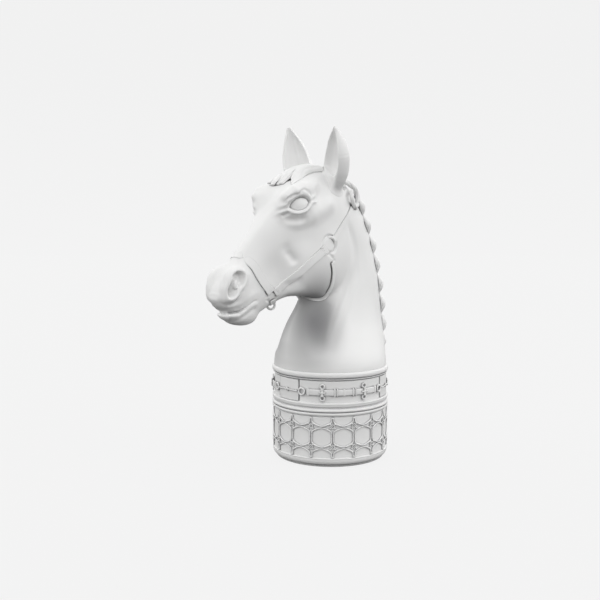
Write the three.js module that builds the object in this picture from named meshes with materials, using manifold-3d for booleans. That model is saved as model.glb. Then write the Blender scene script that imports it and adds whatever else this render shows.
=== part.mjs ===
// Garden chess knight: a horse's head in a halter on a straight two-tier drum.
// Millimetres, +Z up. The origin is the centre of the underside, on the drum's axis.
// The horse looks along -Y, and +X is its left.
import * as THREE from 'three';
import { mergeVertices } from 'three/addons/utils/BufferGeometryUtils.js';
import Module from 'manifold-3d';

const wasm = await Module();
wasm.setup();

// Driving dimensions
const R = 80; // outer radius of the beads on the drum and the collar
const GAP = 0.35; // clearance between neighbouring pieces
const RELIEF = 2.2; // how far raised work stands off the wall behind it
const SEGMENTS = 48; // facets around the drum

// Drum
const PAD_HEIGHT = 2.5;
const PAD_RADIUS = R - 6;
const DRUM_FLOOR = 9;
const DRUM_TOP = 73;
const DRUM_FIELD = R - 2.6; // wall behind the net of bits
const DRUM_BORE = R - 9;
const REBATE_RADIUS = R - 3.5; // seat for the seal in the drum's rim
const REBATE_DEPTH = 1.6;
const FOOT_BEAD_Z = 11.4;
const NET_COLUMNS = 17;
const NET_ROWS = [27.6, 55];
const NET_FIRST_AZIMUTH = 50;
const BALLAST_HEIGHT = 15;

// Collar
const COLLAR_FOOT = 73.9;
const COLLAR_TOP = 126;
const COLLAR_FIELD = R - 3.4; // wall behind the belt
const FIELD_LOW = 86;
const FIELD_HIGH = 115;
const SPIGOT_DEPTH = 12;
const BELT_Z = 99.8;
const BELT_HEIGHT = 8.6;
const BELT_REPEATS = 3;
const BELT_TURN = 1; // azimuth of the middle of the first raised panel, in degrees
const TAB_ANGLE = 28; // width of each narrow raised panel, in degrees
const LIFT_CLEARANCE = 0.5; // between the spigot and the drum's bore

// Head
const WALL = 7;
const STRAP_THICKNESS = 2;
const STRAP_WIDTH = 10;

const WHITE = 0xf2f1ee;

function degrees(angle) {
  return angle * Math.PI / 180;
}

// s is forward from the axis, t is to the horse's left and z is up, all in units of R
function at(s, t, z) {
  return new THREE.Vector3(t * R, -s * R, z * R);
}

function solidOf(geometry) {
  const bare = new THREE.BufferGeometry();
  bare.setAttribute('position', geometry.getAttribute('position').clone());
  if (geometry.index) bare.setIndex(geometry.index.clone());
  const merged = mergeVertices(bare, 1e-4);
  return new wasm.Manifold(new wasm.Mesh({
    numProp: 3,
    vertProperties: new Float32Array(merged.getAttribute('position').array),
    triVerts: new Uint32Array(merged.index.array),
  }));
}

function geometryOf(solid) {
  const mesh = solid.getMesh();
  const geometry = new THREE.BufferGeometry();
  geometry.setAttribute('position', new THREE.BufferAttribute(new Float32Array(mesh.vertProperties), 3));
  geometry.setIndex(new THREE.BufferAttribute(new Uint32Array(mesh.triVerts), 1));
  return geometry;
}

function joined(solids) {
  return solids.reduce((whole, next) => whole.add(next));
}

function piece(name, solid, look = {}) {
  const geometry = geometryOf(solid);
  geometry.computeVertexNormals();
  const material = new THREE.MeshStandardMaterial({
    color: look.color ?? WHITE,
    roughness: look.roughness ?? 0.62,
    metalness: look.metalness ?? 0,
  });
  const mesh = new THREE.Mesh(geometry, material);
  mesh.name = name;
  return mesh;
}

function turned(points, segments = SEGMENTS) {
  const profile = points.map(([radius, z]) => new THREE.Vector2(radius, z));
  const first = profile[0];
  const last = profile[profile.length - 1];
  if (first.x > 0 && !first.equals(last)) profile.push(first.clone());
  const geometry = new THREE.LatheGeometry(profile, segments);
  geometry.rotateX(Math.PI / 2);
  return outward(geometry);
}

// A lathe or a warped cylinder can come out inside out, which a negative volume shows
function outward(geometry) {
  const bare = new THREE.BufferGeometry();
  bare.setAttribute('position', geometry.getAttribute('position').clone());
  bare.setIndex(geometry.index.clone());
  const merged = mergeVertices(bare, 1e-4);
  const corner = [new THREE.Vector3(), new THREE.Vector3(), new THREE.Vector3()];
  const position = merged.getAttribute('position');
  const index = merged.index.array;
  let volume = 0;
  const kept = [];
  for (let i = 0; i < index.length; i += 3) {
    if (index[i] === index[i + 1] || index[i + 1] === index[i + 2] || index[i] === index[i + 2]) continue;
    corner.forEach((point, k) => point.fromBufferAttribute(position, index[i + k]));
    volume += corner[0].dot(corner[1].clone().cross(corner[2]));
    kept.push(index[i], index[i + 1], index[i + 2]);
  }
  if (volume < 0) {
    for (let i = 0; i < kept.length; i += 3) [kept[i], kept[i + 1]] = [kept[i + 1], kept[i]];
  }
  merged.setIndex(kept);
  return solidOf(merged);
}

// Part of a ring between two azimuths, which are measured from the horse's front towards its left
function arcPiece(inner, outer, from, to, low, high, steps = 6) {
  const shape = new THREE.Shape();
  const point = (radius, azimuth) => [radius * Math.sin(degrees(azimuth)), -radius * Math.cos(degrees(azimuth))];
  for (let i = 0; i <= steps; i++) {
    const [x, y] = point(outer, from + (to - from) * i / steps);
    if (i === 0) shape.moveTo(x, y);
    else shape.lineTo(x, y);
  }
  for (let i = steps; i >= 0; i--) shape.lineTo(...point(inner, from + (to - from) * i / steps));
  const geometry = new THREE.ExtrudeGeometry(shape, { depth: high - low, bevelEnabled: false });
  geometry.translate(0, 0, low);
  return solidOf(geometry);
}

// Turns a shape whose outward direction is +Z so that it stands on the drum at an azimuth
function onDrum(geometry, radius, azimuth, z) {
  geometry.rotateX(Math.PI / 2);
  geometry.translate(0, -radius, z);
  geometry.rotateZ(degrees(azimuth));
  return solidOf(geometry);
}

function disc(radius, height, facets = 10) {
  const geometry = new THREE.CylinderGeometry(radius, radius, height, facets);
  geometry.rotateX(Math.PI / 2);
  return geometry;
}

function basePad() {
  return turned([[0, 0], [PAD_RADIUS, 0], [PAD_RADIUS, PAD_HEIGHT], [0, PAD_HEIGHT]]);
}

function drumShell() {
  const foot = PAD_HEIGHT + GAP;
  return turned([
    [0, foot],
    [R - 6.5, foot],
    [R - 3.2, foot + 1.2],
    [R - 1.6, foot + 3.6],
    [R - 1.4, FOOT_BEAD_Z - 1.4],
    [R - 1.2, FOOT_BEAD_Z + 0.4],
    [DRUM_FIELD, FOOT_BEAD_Z + 1.6],
    [DRUM_FIELD, DRUM_TOP - 5.6],
    [R - 3.2, DRUM_TOP - 4.9],
    [R - 0.8, DRUM_TOP - 3.9],
    [R, DRUM_TOP - 2.4],
    [R - 0.4, DRUM_TOP - 0.6],
    [R - 1.2, DRUM_TOP],
    [REBATE_RADIUS, DRUM_TOP],
    [REBATE_RADIUS, DRUM_TOP - REBATE_DEPTH],
    [DRUM_BORE, DRUM_TOP - REBATE_DEPTH],
    [DRUM_BORE, DRUM_FLOOR],
    [0, DRUM_FLOOR],
  ]);
}

function ballastDisc() {
  const low = DRUM_FLOOR + GAP;
  const radius = DRUM_BORE - 1;
  return turned([
    [0, low],
    [radius, low],
    [radius, low + BALLAST_HEIGHT - 1],
    [radius - 1, low + BALLAST_HEIGHT],
    [0, low + BALLAST_HEIGHT],
  ]);
}

// One row of linked bits: a band around the drum, a ring at every column and arms up and down
function netRow(row, armsUpTo, armsDownTo) {
  const inner = DRUM_FIELD + GAP;
  const outer = R - 1;
  const band = turned([[inner, row - 0.9], [outer, row - 0.7], [outer, row + 0.7], [inner, row + 0.9]]);
  const parts = [band];
  for (let i = 0; i < NET_COLUMNS; i++) {
    const azimuth = NET_FIRST_AZIMUTH + i * 360 / NET_COLUMNS;
    parts.push(onDrum(disc(3.1, 1.9, 6), inner + 1.25, azimuth, row));
    const arm = new THREE.BoxGeometry(1.6, armsUpTo - armsDownTo, 1.2);
    parts.push(onDrum(arm, inner + 0.95, azimuth, (armsUpTo + armsDownTo) / 2));
  }
  return joined(parts);
}

function sealRing() {
  const low = DRUM_TOP - REBATE_DEPTH + GAP;
  return turned([
    [DRUM_BORE + GAP, low],
    [REBATE_RADIUS - GAP, low],
    [REBATE_RADIUS - GAP, COLLAR_FOOT - GAP],
    [DRUM_BORE + GAP, COLLAR_FOOT - GAP],
  ]);
}

function collarBand() {
  const spigot = DRUM_BORE - LIFT_CLEARANCE;
  return turned([
    [spigot - 5, COLLAR_FOOT - SPIGOT_DEPTH],
    [spigot, COLLAR_FOOT - SPIGOT_DEPTH],
    [spigot, COLLAR_FOOT],
    [R - 1, COLLAR_FOOT],
    [R - 0.1, COLLAR_FOOT + 0.8],
    [R, COLLAR_FOOT + 2.2],
    [R - 0.5, COLLAR_FOOT + 3.8],
    [R - 1.9, COLLAR_FOOT + 5.2],
    [R - 0.7, COLLAR_FOOT + 6.6],
    [R - 0.9, FIELD_LOW - 2.8],
    [COLLAR_FIELD, FIELD_LOW],
    [COLLAR_FIELD, FIELD_HIGH],
    [R - 1.4, FIELD_HIGH + 0.4],
    [R - 1.9, FIELD_HIGH + 2.6],
    [R - 0.1, FIELD_HIGH + 3.6],
    [R, FIELD_HIGH + 6.2],
    [R - 0.7, FIELD_HIGH + 8.6],
    [R - 2.4, COLLAR_TOP],
    [R - 12, COLLAR_TOP],
    [R - 12, COLLAR_TOP - 15],
    [spigot - 5, COLLAR_TOP - 22],
  ]);
}

function beltTab(azimuth) {
  const half = TAB_ANGLE / 2;
  const inner = COLLAR_FIELD + GAP;
  return arcPiece(inner, inner + 1.3, azimuth - half, azimuth + half, FIELD_LOW + GAP, FIELD_HIGH - GAP);
}

function beltLink(azimuth) {
  const inner = COLLAR_FIELD + 2 * GAP + 1.3;
  const half = TAB_ANGLE / 2 - 0.5;
  const bar = arcPiece(inner, inner + 1.3, azimuth - half, azimuth + half, BELT_Z - 1, BELT_Z + 1);
  const bead = onDrum(disc(2.4, 1.7, 8), inner + 0.9, azimuth, BELT_Z);
  return bar.add(bead);
}

const RING_OFFSET = 60 - TAB_ANGLE / 2 - 4.3; // of a belt ring from the middle of its wide panel
const RING_RADIUS = 4.1;

function beltRing(azimuth) {
  const geometry = new THREE.TorusGeometry(RING_RADIUS, 1.05, 6, 12);
  return onDrum(geometry, COLLAR_FIELD + GAP + 1.2, azimuth, BELT_Z);
}

function beltStrap(azimuth) {
  const inner = COLLAR_FIELD + GAP;
  const reach = RING_OFFSET - 5.4;
  const low = BELT_Z - BELT_HEIGHT / 2;
  const high = BELT_Z + BELT_HEIGHT / 2;
  const strap = arcPiece(inner, inner + 1.5, azimuth - reach, azimuth + reach, low, high, 12);
  const keeper = arcPiece(inner, inner + 2.2, azimuth - 1.6, azimuth + 1.6, low - 1, high + 1, 2);
  return strap.add(keeper);
}

function bitCross(azimuth) {
  const inner = COLLAR_FIELD + 2 * GAP + 1.5;
  const bar = new THREE.BoxGeometry(3, BELT_HEIGHT + 6, 1.1);
  const boss = disc(3.1, 1.5, 8);
  const parts = [onDrum(bar, inner + 0.65, azimuth, BELT_Z), onDrum(boss, inner + 0.75, azimuth, BELT_Z)];
  for (const side of [-1, 1]) {
    const loop = new THREE.TorusGeometry(2, 0.65, 4, 8);
    parts.push(onDrum(loop, inner + 0.7, azimuth, BELT_Z + side * (BELT_HEIGHT / 2 + 4.2)));
  }
  return joined(parts);
}

// A closed tube whose sections are given by a top point, a bottom point and a half-width.
// grow moves the whole surface outward by that many millimetres.
function lofted(sections, { grow = 0, around = 26, along = 16 } = {}) {
  const curve = pick => new THREE.CatmullRomCurve3(sections.map(pick), false, 'centripetal');
  const tops = curve(section => at(section.top[0], 0, section.top[1]));
  const bottoms = curve(section => at(section.bottom[0], 0, section.bottom[1]));
  const widths = curve(section => new THREE.Vector3(section.half * R, section.low ?? 0, section.square ?? 0));
  const geometry = new THREE.CylinderGeometry(1, 1, 1, around, along);
  const position = geometry.getAttribute('position');
  for (let i = 0; i < position.count; i++) {
    const share = 0.5 - position.getY(i);
    const onRim = Math.hypot(position.getX(i), position.getZ(i)) > 0.5;
    const angle = Math.atan2(position.getX(i), position.getZ(i));
    const top = tops.getPoint(share);
    const bottom = bottoms.getPoint(share);
    const width = widths.getPoint(share);
    const half = top.clone().sub(bottom).multiplyScalar(0.5);
    const centre = top.clone().add(bottom).multiplyScalar(0.5);
    half.multiplyScalar(1 + grow / half.length());
    let up = Math.cos(angle);
    let side = Math.sin(angle);
    const power = 1 - 0.45 * width.z;
    up = Math.sign(up) * Math.abs(up) ** power;
    side = Math.sign(side) * Math.abs(side) ** power;
    const narrowing = 1 + width.y * up;
    const point = centre.clone().addScaledVector(half, onRim ? up : 0);
    point.x += onRim ? (width.x + grow) * side * narrowing : 0;
    if (grow > 0 && share < 1e-6) point.sub(tangent(centre, tops, bottoms, 0).multiplyScalar(grow));
    if (grow > 0 && share > 1 - 1e-6) point.add(tangent(centre, tops, bottoms, 1).multiplyScalar(grow));
    position.setXYZ(i, point.x, point.y, point.z);
  }
  return outward(geometry);
}

function tangent(centre, tops, bottoms, share) {
  const near = share === 0 ? 0.02 : 0.98;
  const other = tops.getPoint(near).add(bottoms.getPoint(near)).multiplyScalar(0.5);
  return share === 0 ? other.sub(centre).normalize() : centre.clone().sub(other).normalize();
}

const NECK_FOOT = (COLLAR_TOP + GAP) / R;

// Neck sections from the collar to the poll. top is the crest side and bottom is the throat side.
const NECK = [
  { top: [-0.965, NECK_FOOT], bottom: [0.965, NECK_FOOT], half: 0.965 },
  { top: [-0.99, 1.76], bottom: [0.975, 1.76], half: 0.92 },
  { top: [-1.06, 2.05], bottom: [0.965, 2.05], half: 0.74 },
  { top: [-1.08, 2.36], bottom: [0.86, 2.34], half: 0.6 },
  { top: [-1.05, 2.72], bottom: [0.68, 2.64], half: 0.51 },
  { top: [-1.02, 3.1], bottom: [0.5, 2.9], half: 0.45, low: -0.06 },
  { top: [-0.93, 3.5], bottom: [0.4, 3.12], half: 0.41, low: -0.1 },
  { top: [-0.8, 3.93], bottom: [0.38, 3.35], half: 0.38, low: -0.12 },
  { top: [-0.56, 4.36], bottom: [0.42, 3.6], half: 0.37, low: -0.12 },
  { top: [-0.24, 4.7], bottom: [0.5, 3.8], half: 0.36, low: -0.12 },
];

// Head sections from the poll to the lips. top is the face and bottom is the jaw.
const HEAD = [
  { top: [-0.12, 4.68], bottom: [-0.2, 3.3], half: 0.36, low: -0.1 },
  { top: [0.1, 4.82], bottom: [-0.12, 3.02], half: 0.43, low: -0.06, square: 0.2 },
  { top: [0.4, 4.82], bottom: [0.12, 2.84], half: 0.46, low: 0, square: 0.5 },
  { top: [0.78, 4.69], bottom: [0.48, 2.76], half: 0.48, low: 0.06, square: 0.8 },
  { top: [1.16, 4.44], bottom: [0.86, 2.79], half: 0.45, low: 0.12, square: 0.9 },
  { top: [1.46, 4.12], bottom: [1.14, 2.76], half: 0.38, low: 0.04, square: 0.6 },
  { top: [1.74, 3.8], bottom: [1.38, 2.68], half: 0.32, low: -0.08, square: 0.35 },
  { top: [2.02, 3.48], bottom: [1.6, 2.54], half: 0.28, low: -0.06, square: 0.25 },
  { top: [2.24, 3.22], bottom: [1.84, 2.42], half: 0.29, low: 0, square: 0.2 },
  { top: [2.42, 3.0], bottom: [2.1, 2.4], half: 0.27, low: 0.06, square: 0.15 },
  { top: [2.5, 2.84], bottom: [2.33, 2.5], half: 0.17, low: 0.08 },
];

const CHEEK = { centre: [0.5, 0.26, 3.3], size: [0.56, 0.24, 0.6] };
const ORBIT = { centre: [1.04, 0.33, 4.32], size: [0.32, 0.145, 0.22] };
const EYE = { centre: [1.1, 0.35, 4.28], radius: 14 };

function ball(radius, across = 16, up = 10) {
  return new THREE.SphereGeometry(radius, across, up);
}

function lump({ centre, size }, side, grow, tilt = 0) {
  const geometry = ball(1, 14, 9);
  geometry.scale(size[1] * R + grow, size[0] * R + grow, size[2] * R + grow);
  geometry.rotateX(tilt);
  const place = at(centre[0], centre[1] * side, centre[2]);
  geometry.translate(place.x, place.y, place.z);
  return solidOf(geometry);
}

// The outside of the head without the neck
function headForm(grow) {
  const parts = [lofted(HEAD, { grow, along: 17 })];
  for (const side of [-1, 1]) {
    parts.push(lump(CHEEK, side, grow, degrees(-20)));
    parts.push(lump(ORBIT, side, grow, degrees(20)));
  }
  return joined(parts);
}

// The outside of neck and head, without ears, hair and harness
function outerForm(grow) {
  return headForm(grow).add(lofted(NECK, { grow, along: 13 }));
}

function innerForm() {
  const neck = lofted(NECK.slice(1), { grow: -WALL, around: 16, along: 8 });
  const head = lofted(HEAD.slice(1, 9), { grow: -WALL - 2, around: 14, along: 8 });
  const opening = R - 12 - GAP - 6;
  const mouth = turned([
    [0, COLLAR_TOP - 20],
    [opening, COLLAR_TOP - 20],
    [opening, COLLAR_TOP + 24],
    [0, COLLAR_TOP + 24],
  ], 32);
  return joined([neck, head, mouth]).subtract(eyeBoss(1)).subtract(eyeBoss(-1));
}

// Solid ground behind an eye, so that its socket doesn't open into the hollow
function eyeBoss(side) {
  const geometry = ball(EYE.radius + GAP + 5, 14, 10);
  const place = at(EYE.centre[0], EYE.centre[1] * side, EYE.centre[2]);
  geometry.translate(place.x, place.y, place.z);
  return solidOf(geometry);
}

function neckSpigot() {
  const radius = R - 12 - GAP;
  return turned([
    [radius - 9, COLLAR_TOP - 14],
    [radius, COLLAR_TOP - 14],
    [radius, COLLAR_TOP + 3],
    [radius - 9, COLLAR_TOP + 3],
  ], SEGMENTS);
}

function box(width, depth, height, place, tilt = 0) {
  const geometry = new THREE.BoxGeometry(width, depth, height);
  geometry.rotateX(tilt);
  geometry.translate(place.x, place.y, place.z);
  return solidOf(geometry);
}

function nostrilCut(side) {
  const geometry = ball(1, 12, 8);
  geometry.scale(6, 8.5, 12.5);
  geometry.rotateX(degrees(25));
  const place = at(2.19, 0.3 * side, 3.09);
  geometry.translate(place.x, place.y, place.z);
  return solidOf(geometry);
}

function mouthCut() {
  return box(80, 52, 1.4, at(2.2, 0, 2.74), degrees(-13));
}

function eyeSocket(side) {
  const geometry = ball(EYE.radius + GAP, 14, 10);
  const place = at(EYE.centre[0], EYE.centre[1] * side, EYE.centre[2]);
  geometry.translate(place.x, place.y, place.z);
  return solidOf(geometry);
}

const FORM = outerForm(0);
const NEAR_FORM = outerForm(GAP);
const STRAP_FORM = outerForm(GAP + STRAP_THICKNESS);
const STRAP_SHELL = STRAP_FORM.subtract(NEAR_FORM);

function neckAndHead() {
  let shell = FORM.add(neckSpigot()).subtract(innerForm());
  for (const side of [-1, 1]) {
    shell = shell.subtract(nostrilCut(side)).subtract(eyeSocket(side));
  }
  return shell.subtract(mouthCut());
}

function eye(side) {
  const geometry = ball(EYE.radius, 14, 10);
  const place = at(EYE.centre[0], EYE.centre[1] * side, EYE.centre[2]);
  geometry.translate(place.x, place.y, place.z);
  return solidOf(geometry);
}

// Where a ray from the horse's side meets the head's surface
const probe = new THREE.Mesh(geometryOf(NEAR_FORM), new THREE.MeshBasicMaterial({ side: THREE.DoubleSide }));

function onCheek(s, z, side) {
  const from = at(s, 3 * side, z);
  const ray = new THREE.Raycaster(from, new THREE.Vector3(-side, 0, 0));
  const hit = ray.intersectObject(probe)[0];
  return { point: hit.point, normal: hit.face.normal.clone() };
}

// A slab across the head that joins two points of the side view
function slabBetween(from, to, width) {
  const start = at(from[0], 0, from[1]);
  const end = at(to[0], 0, to[1]);
  const run = end.clone().sub(start);
  const middle = start.clone().add(end).multiplyScalar(0.5);
  return box(3 * R, width, run.length(), middle, Math.atan2(-run.y, run.z));
}

// A strap that follows the surface between two points of the side view
function strapBetween(from, to, width = STRAP_WIDTH) {
  return STRAP_SHELL.intersect(slabBetween(from, to, width));
}

function halfSpace(side) {
  return box(2 * R, 8 * R, 8 * R, new THREE.Vector3(side * (R + 6), 0, 3 * R));
}

// Halter rings lie flat on the head at these points of the side view
const CHEEK_RING = [0.47, 3.65];
const NOSE_RING = [1.49, 2.84];
const CROWN_TOP = [-0.76, 4.8];
const CROWN_WIDTH = 7;
const CHEEK_RING_RADIUS = 8;
const NOSE_RING_RADIUS = 5.6;

function ringOn([s, z], side, radius, tube) {
  const { point, normal } = onCheek(s, z, side);
  const geometry = new THREE.TorusGeometry(radius, tube, 6, 14);
  geometry.applyQuaternion(new THREE.Quaternion().setFromUnitVectors(new THREE.Vector3(0, 0, 1), normal));
  const place = point.clone().addScaledVector(normal, tube + GAP);
  geometry.translate(place.x, place.y, place.z);
  return solidOf(geometry);
}

// The head is curved under a flat ring, so the ring is trimmed to the surface
function cheekRing(side) {
  return ringOn(CHEEK_RING, side, CHEEK_RING_RADIUS, 1.7).subtract(NEAR_FORM);
}

function noseRing(side) {
  return ringOn(NOSE_RING, side, NOSE_RING_RADIUS, 1.5).subtract(NEAR_FORM);
}

function ringRoom([s, z], radius) {
  const geometry = new THREE.CylinderGeometry(radius, radius, 4 * R, 14);
  geometry.rotateZ(Math.PI / 2);
  const place = at(s, 0, z);
  geometry.translate(place.x, place.y, place.z);
  return solidOf(geometry);
}

const CHEEK_ROOM = ringRoom(CHEEK_RING, CHEEK_RING_RADIUS + 2.6);
const NOSE_ROOM = ringRoom(NOSE_RING, NOSE_RING_RADIUS + 2.4);

function largest(solid) {
  return solid.decompose().sort((a, b) => b.volume() - a.volume())[0];
}

function largestTwo(solid) {
  return solid.decompose().sort((a, b) => b.volume() - a.volume()).slice(0, 2);
}

function cheekStrap(side) {
  const strap = strapBetween(NOSE_RING, CHEEK_RING).intersect(halfSpace(side));
  return largest(strap.subtract(CHEEK_ROOM).subtract(NOSE_ROOM));
}

function noseband() {
  const strap = strapBetween(NOSE_RING, [2.3, 3.85]).subtract(NOSE_ROOM);
  return largest(strap);
}

function chinStrap() {
  const strap = strapBetween([1.05, 2.2], NOSE_RING, 8).subtract(NOSE_ROOM);
  return largest(strap);
}

// The crown strap crosses the crest behind the ears and meets a cheek ring at each end
function crownStrap() {
  const strap = strapBetween(CHEEK_RING, CROWN_TOP, CROWN_WIDTH).subtract(CHEEK_ROOM);
  return largest(strap);
}

const CROWN_ROOM = slabBetween(CHEEK_RING, CROWN_TOP, CROWN_WIDTH + 2 * GAP);

function throatStrap() {
  const shell = headForm(GAP + STRAP_THICKNESS).subtract(NEAR_FORM);
  const strap = shell.intersect(slabBetween([0.74, 2.5], SNAP, 7));
  return largest(strap.subtract(CHEEK_ROOM).subtract(ringRoom(SNAP, 6.4)));
}

const SNAP = [0.445, 3.44];

function throatSnap(side) {
  const { point, normal } = onCheek(...SNAP, side);
  const geometry = ball(1, 12, 8);
  geometry.scale(4.4, 5.6, 2.2);
  geometry.applyQuaternion(new THREE.Quaternion().setFromUnitVectors(new THREE.Vector3(0, 0, 1), normal));
  const place = point.clone().addScaledVector(normal, 1.6);
  geometry.translate(place.x, place.y, place.z);
  return solidOf(geometry).subtract(NEAR_FORM).subtract(CHEEK_ROOM);
}

function chinRing() {
  const geometry = new THREE.TorusGeometry(4.6, 1.3, 6, 12);
  geometry.rotateY(Math.PI / 2);
  const place = at(1.31, 0, 2.515);
  geometry.translate(place.x, place.y, place.z);
  return solidOf(geometry).subtract(outerForm(STRAP_THICKNESS + 2 * GAP));
}

// A solid of revolution flattened and bent along a curve, for ears and locks of hair
function alongCurve(points, radii, flatten, facing, around = 10, along = 8) {
  const path = new THREE.CatmullRomCurve3(points, false, 'centripetal');
  const size = new THREE.CatmullRomCurve3(radii.map(radius => new THREE.Vector3(radius, 0, 0)));
  const geometry = new THREE.CylinderGeometry(1, 1, 1, around, along);
  const position = geometry.getAttribute('position');
  for (let i = 0; i < position.count; i++) {
    const share = 0.5 - position.getY(i);
    const centre = path.getPoint(share);
    const direction = path.getTangent(share);
    const wide = facing.clone().cross(direction).normalize();
    const thick = direction.clone().cross(wide).normalize();
    const radius = size.getPoint(share).x;
    const point = centre.addScaledVector(wide, position.getX(i) * radius);
    point.addScaledVector(thick, position.getZ(i) * radius * flatten);
    position.setXYZ(i, point.x, point.y, point.z);
  }
  return outward(geometry);
}

function ear(side) {
  const lean = side < 0 ? 0.07 : 0;
  const spine = [
    at(0.26, 0.35 * side, 4.6),
    at(0.3 + lean, 0.42 * side, 4.92),
    at(0.34 + lean, 0.49 * side, 5.25),
    at(0.43 + lean, 0.54 * side, 5.55 + lean),
  ];
  const facing = new THREE.Vector3(0.35 * side, -1, 0.2);
  const outside = alongCurve(spine, [14, 17.5, 14, 1.2], 0.8, facing);
  const hollowSpine = spine.map((point, i) => point.clone().add(new THREE.Vector3(0, [-8, -8, -5.5, -2][i], 0)));
  const hollow = alongCurve(hollowSpine.slice(1), [12, 9.5, 0.6], 0.85, facing);
  return largest(outside.subtract(hollow).subtract(NEAR_FORM));
}

function forelock(side) {
  const spine = side > 0
    ? [at(0.4, 0.2, 4.8), at(0.64, 0.23, 4.84), at(0.86, 0.28, 4.75), at(1.06, 0.35, 4.6)]
    : [at(0.3, -0.13, 4.86), at(0.62, -0.16, 4.86), at(0.92, -0.22, 4.7), at(1.12, -0.26, 4.5)];
  const lock = alongCurve(spine, [7, 10, 8, 1.2], 0.6, new THREE.Vector3(0, -0.4, 1));
  const room = side > 0 ? null : forelock(1);
  const trimmed = lock.subtract(NEAR_FORM).subtract(grown(ear(side)));
  return largest(room ? trimmed.subtract(grown(room)) : trimmed);
}

// The same solid a little larger about its own middle, which leaves a clearance around it
function grown(solid) {
  const { min, max } = solid.boundingBox();
  const geometry = geometryOf(solid);
  const middle = [0, 1, 2].map(k => (min[k] + max[k]) / 2);
  geometry.translate(-middle[0], -middle[1], -middle[2]);
  geometry.scale(...[0, 1, 2].map(k => 1 + 2 * GAP / (max[k] - min[k])));
  geometry.translate(...middle);
  return solidOf(geometry);
}

const MANE_LOCKS = 8;
const CREST = [
  [-0.12, 4.8], [-0.4, 4.58], [-0.6, 4.27], [-0.8, 3.88], [-0.93, 3.42],
  [-1.02, 3.02], [-1.07, 2.62], [-1.09, 2.22], [-1.05, 1.84],
];

// Plaited locks sit astride the crest one after another, each turned to alternate sides
function maneLocks() {
  const crest = new THREE.CatmullRomCurve3(CREST.map(([s, z]) => at(s, 0, z)), false, 'centripetal');
  const locks = [];
  for (let i = 0; i < MANE_LOCKS; i++) {
    const share = (i + 0.5) / MANE_LOCKS;
    const middle = crest.getPointAt(share);
    const direction = crest.getTangentAt(share);
    const length = crest.getLength() / MANE_LOCKS;
    const geometry = ball(1, 10, 8);
    geometry.scale(11, 8.5, length * 0.485);
    geometry.rotateX(Math.atan2(-direction.y, direction.z));
    geometry.translate(middle.x, middle.y, middle.z);
    locks.push(largest(solidOf(geometry).subtract(NEAR_FORM).subtract(CROWN_ROOM)));
  }
  return locks;
}

const root = new THREE.Group();
root.name = 'garden_chess_knight';

const drum = new THREE.Group();
drum.name = 'drum';
drum.add(piece('base_pad', basePad(), { color: 0x8f9092, roughness: 0.95 }));
drum.add(piece('drum_shell', drumShell()));
drum.add(piece('ballast_disc', ballastDisc(), { color: 0x9a9a98, roughness: 0.9 }));
drum.add(piece('net_lower_row', netRow(NET_ROWS[0], NET_ROWS[0] + 13, FOOT_BEAD_Z + 2.2)));
drum.add(piece('net_upper_row', netRow(NET_ROWS[1], DRUM_TOP - 6, NET_ROWS[0] + 13 + GAP)));
root.add(drum);

root.add(piece('seal_ring', sealRing(), { color: 0xd9d9d6, roughness: 0.8 }));

const head = new THREE.Group();
head.name = 'head';
head.add(piece('collar_band', collarBand()));
for (let i = 0; i < BELT_REPEATS; i++) {
  const tab = BELT_TURN + i * 360 / BELT_REPEATS;
  const panel = tab + 180 / BELT_REPEATS;
  head.add(piece(`belt_tab_${i + 1}`, beltTab(tab)));
  head.add(piece(`belt_link_${i + 1}`, beltLink(tab)));
  head.add(piece(`belt_strap_${i + 1}`, beltStrap(panel)));
  for (const [label, side] of [['a', -1], ['b', 1]]) {
    head.add(piece(`belt_ring_${i + 1}${label}`, beltRing(panel + side * RING_OFFSET)));
    head.add(piece(`bit_cross_${i + 1}${label}`, bitCross(panel + side * 21)));
  }
}
head.add(piece('neck_and_head', neckAndHead()));
for (const [label, side] of [['left', 1], ['right', -1]]) {
  head.add(piece(`ear_${label}`, ear(side)));
  head.add(piece(`eye_${label}`, eye(side), { roughness: 0.45 }));
  head.add(piece(`forelock_${label}`, forelock(side)));
  head.add(piece(`cheek_strap_${label}`, cheekStrap(side)));
  head.add(piece(`cheek_ring_${label}`, cheekRing(side)));
  head.add(piece(`nose_ring_${label}`, noseRing(side)));
  head.add(piece(`throat_snap_${label}`, throatSnap(side)));
}
head.add(piece('noseband', noseband()));
head.add(piece('chin_strap', chinStrap()));
head.add(piece('chin_ring', chinRing()));
head.add(piece('crown_strap', crownStrap()));
head.add(piece('throat_strap', throatStrap()));
maneLocks().forEach((lock, i) => head.add(piece(`mane_lock_${i + 1}`, lock)));
root.add(head);

export default root;
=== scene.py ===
"""Garden chess knight in matte white ceramic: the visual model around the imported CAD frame.

Sizes are worked out from R, half the drum's width in the frame. Points are written as
(s, t, z) in units of R: s is forward from the drum's axis, t to the horse's left, z up.
"""

import math

import bpy
import numpy as np
from mathutils import Matrix, Vector

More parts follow.
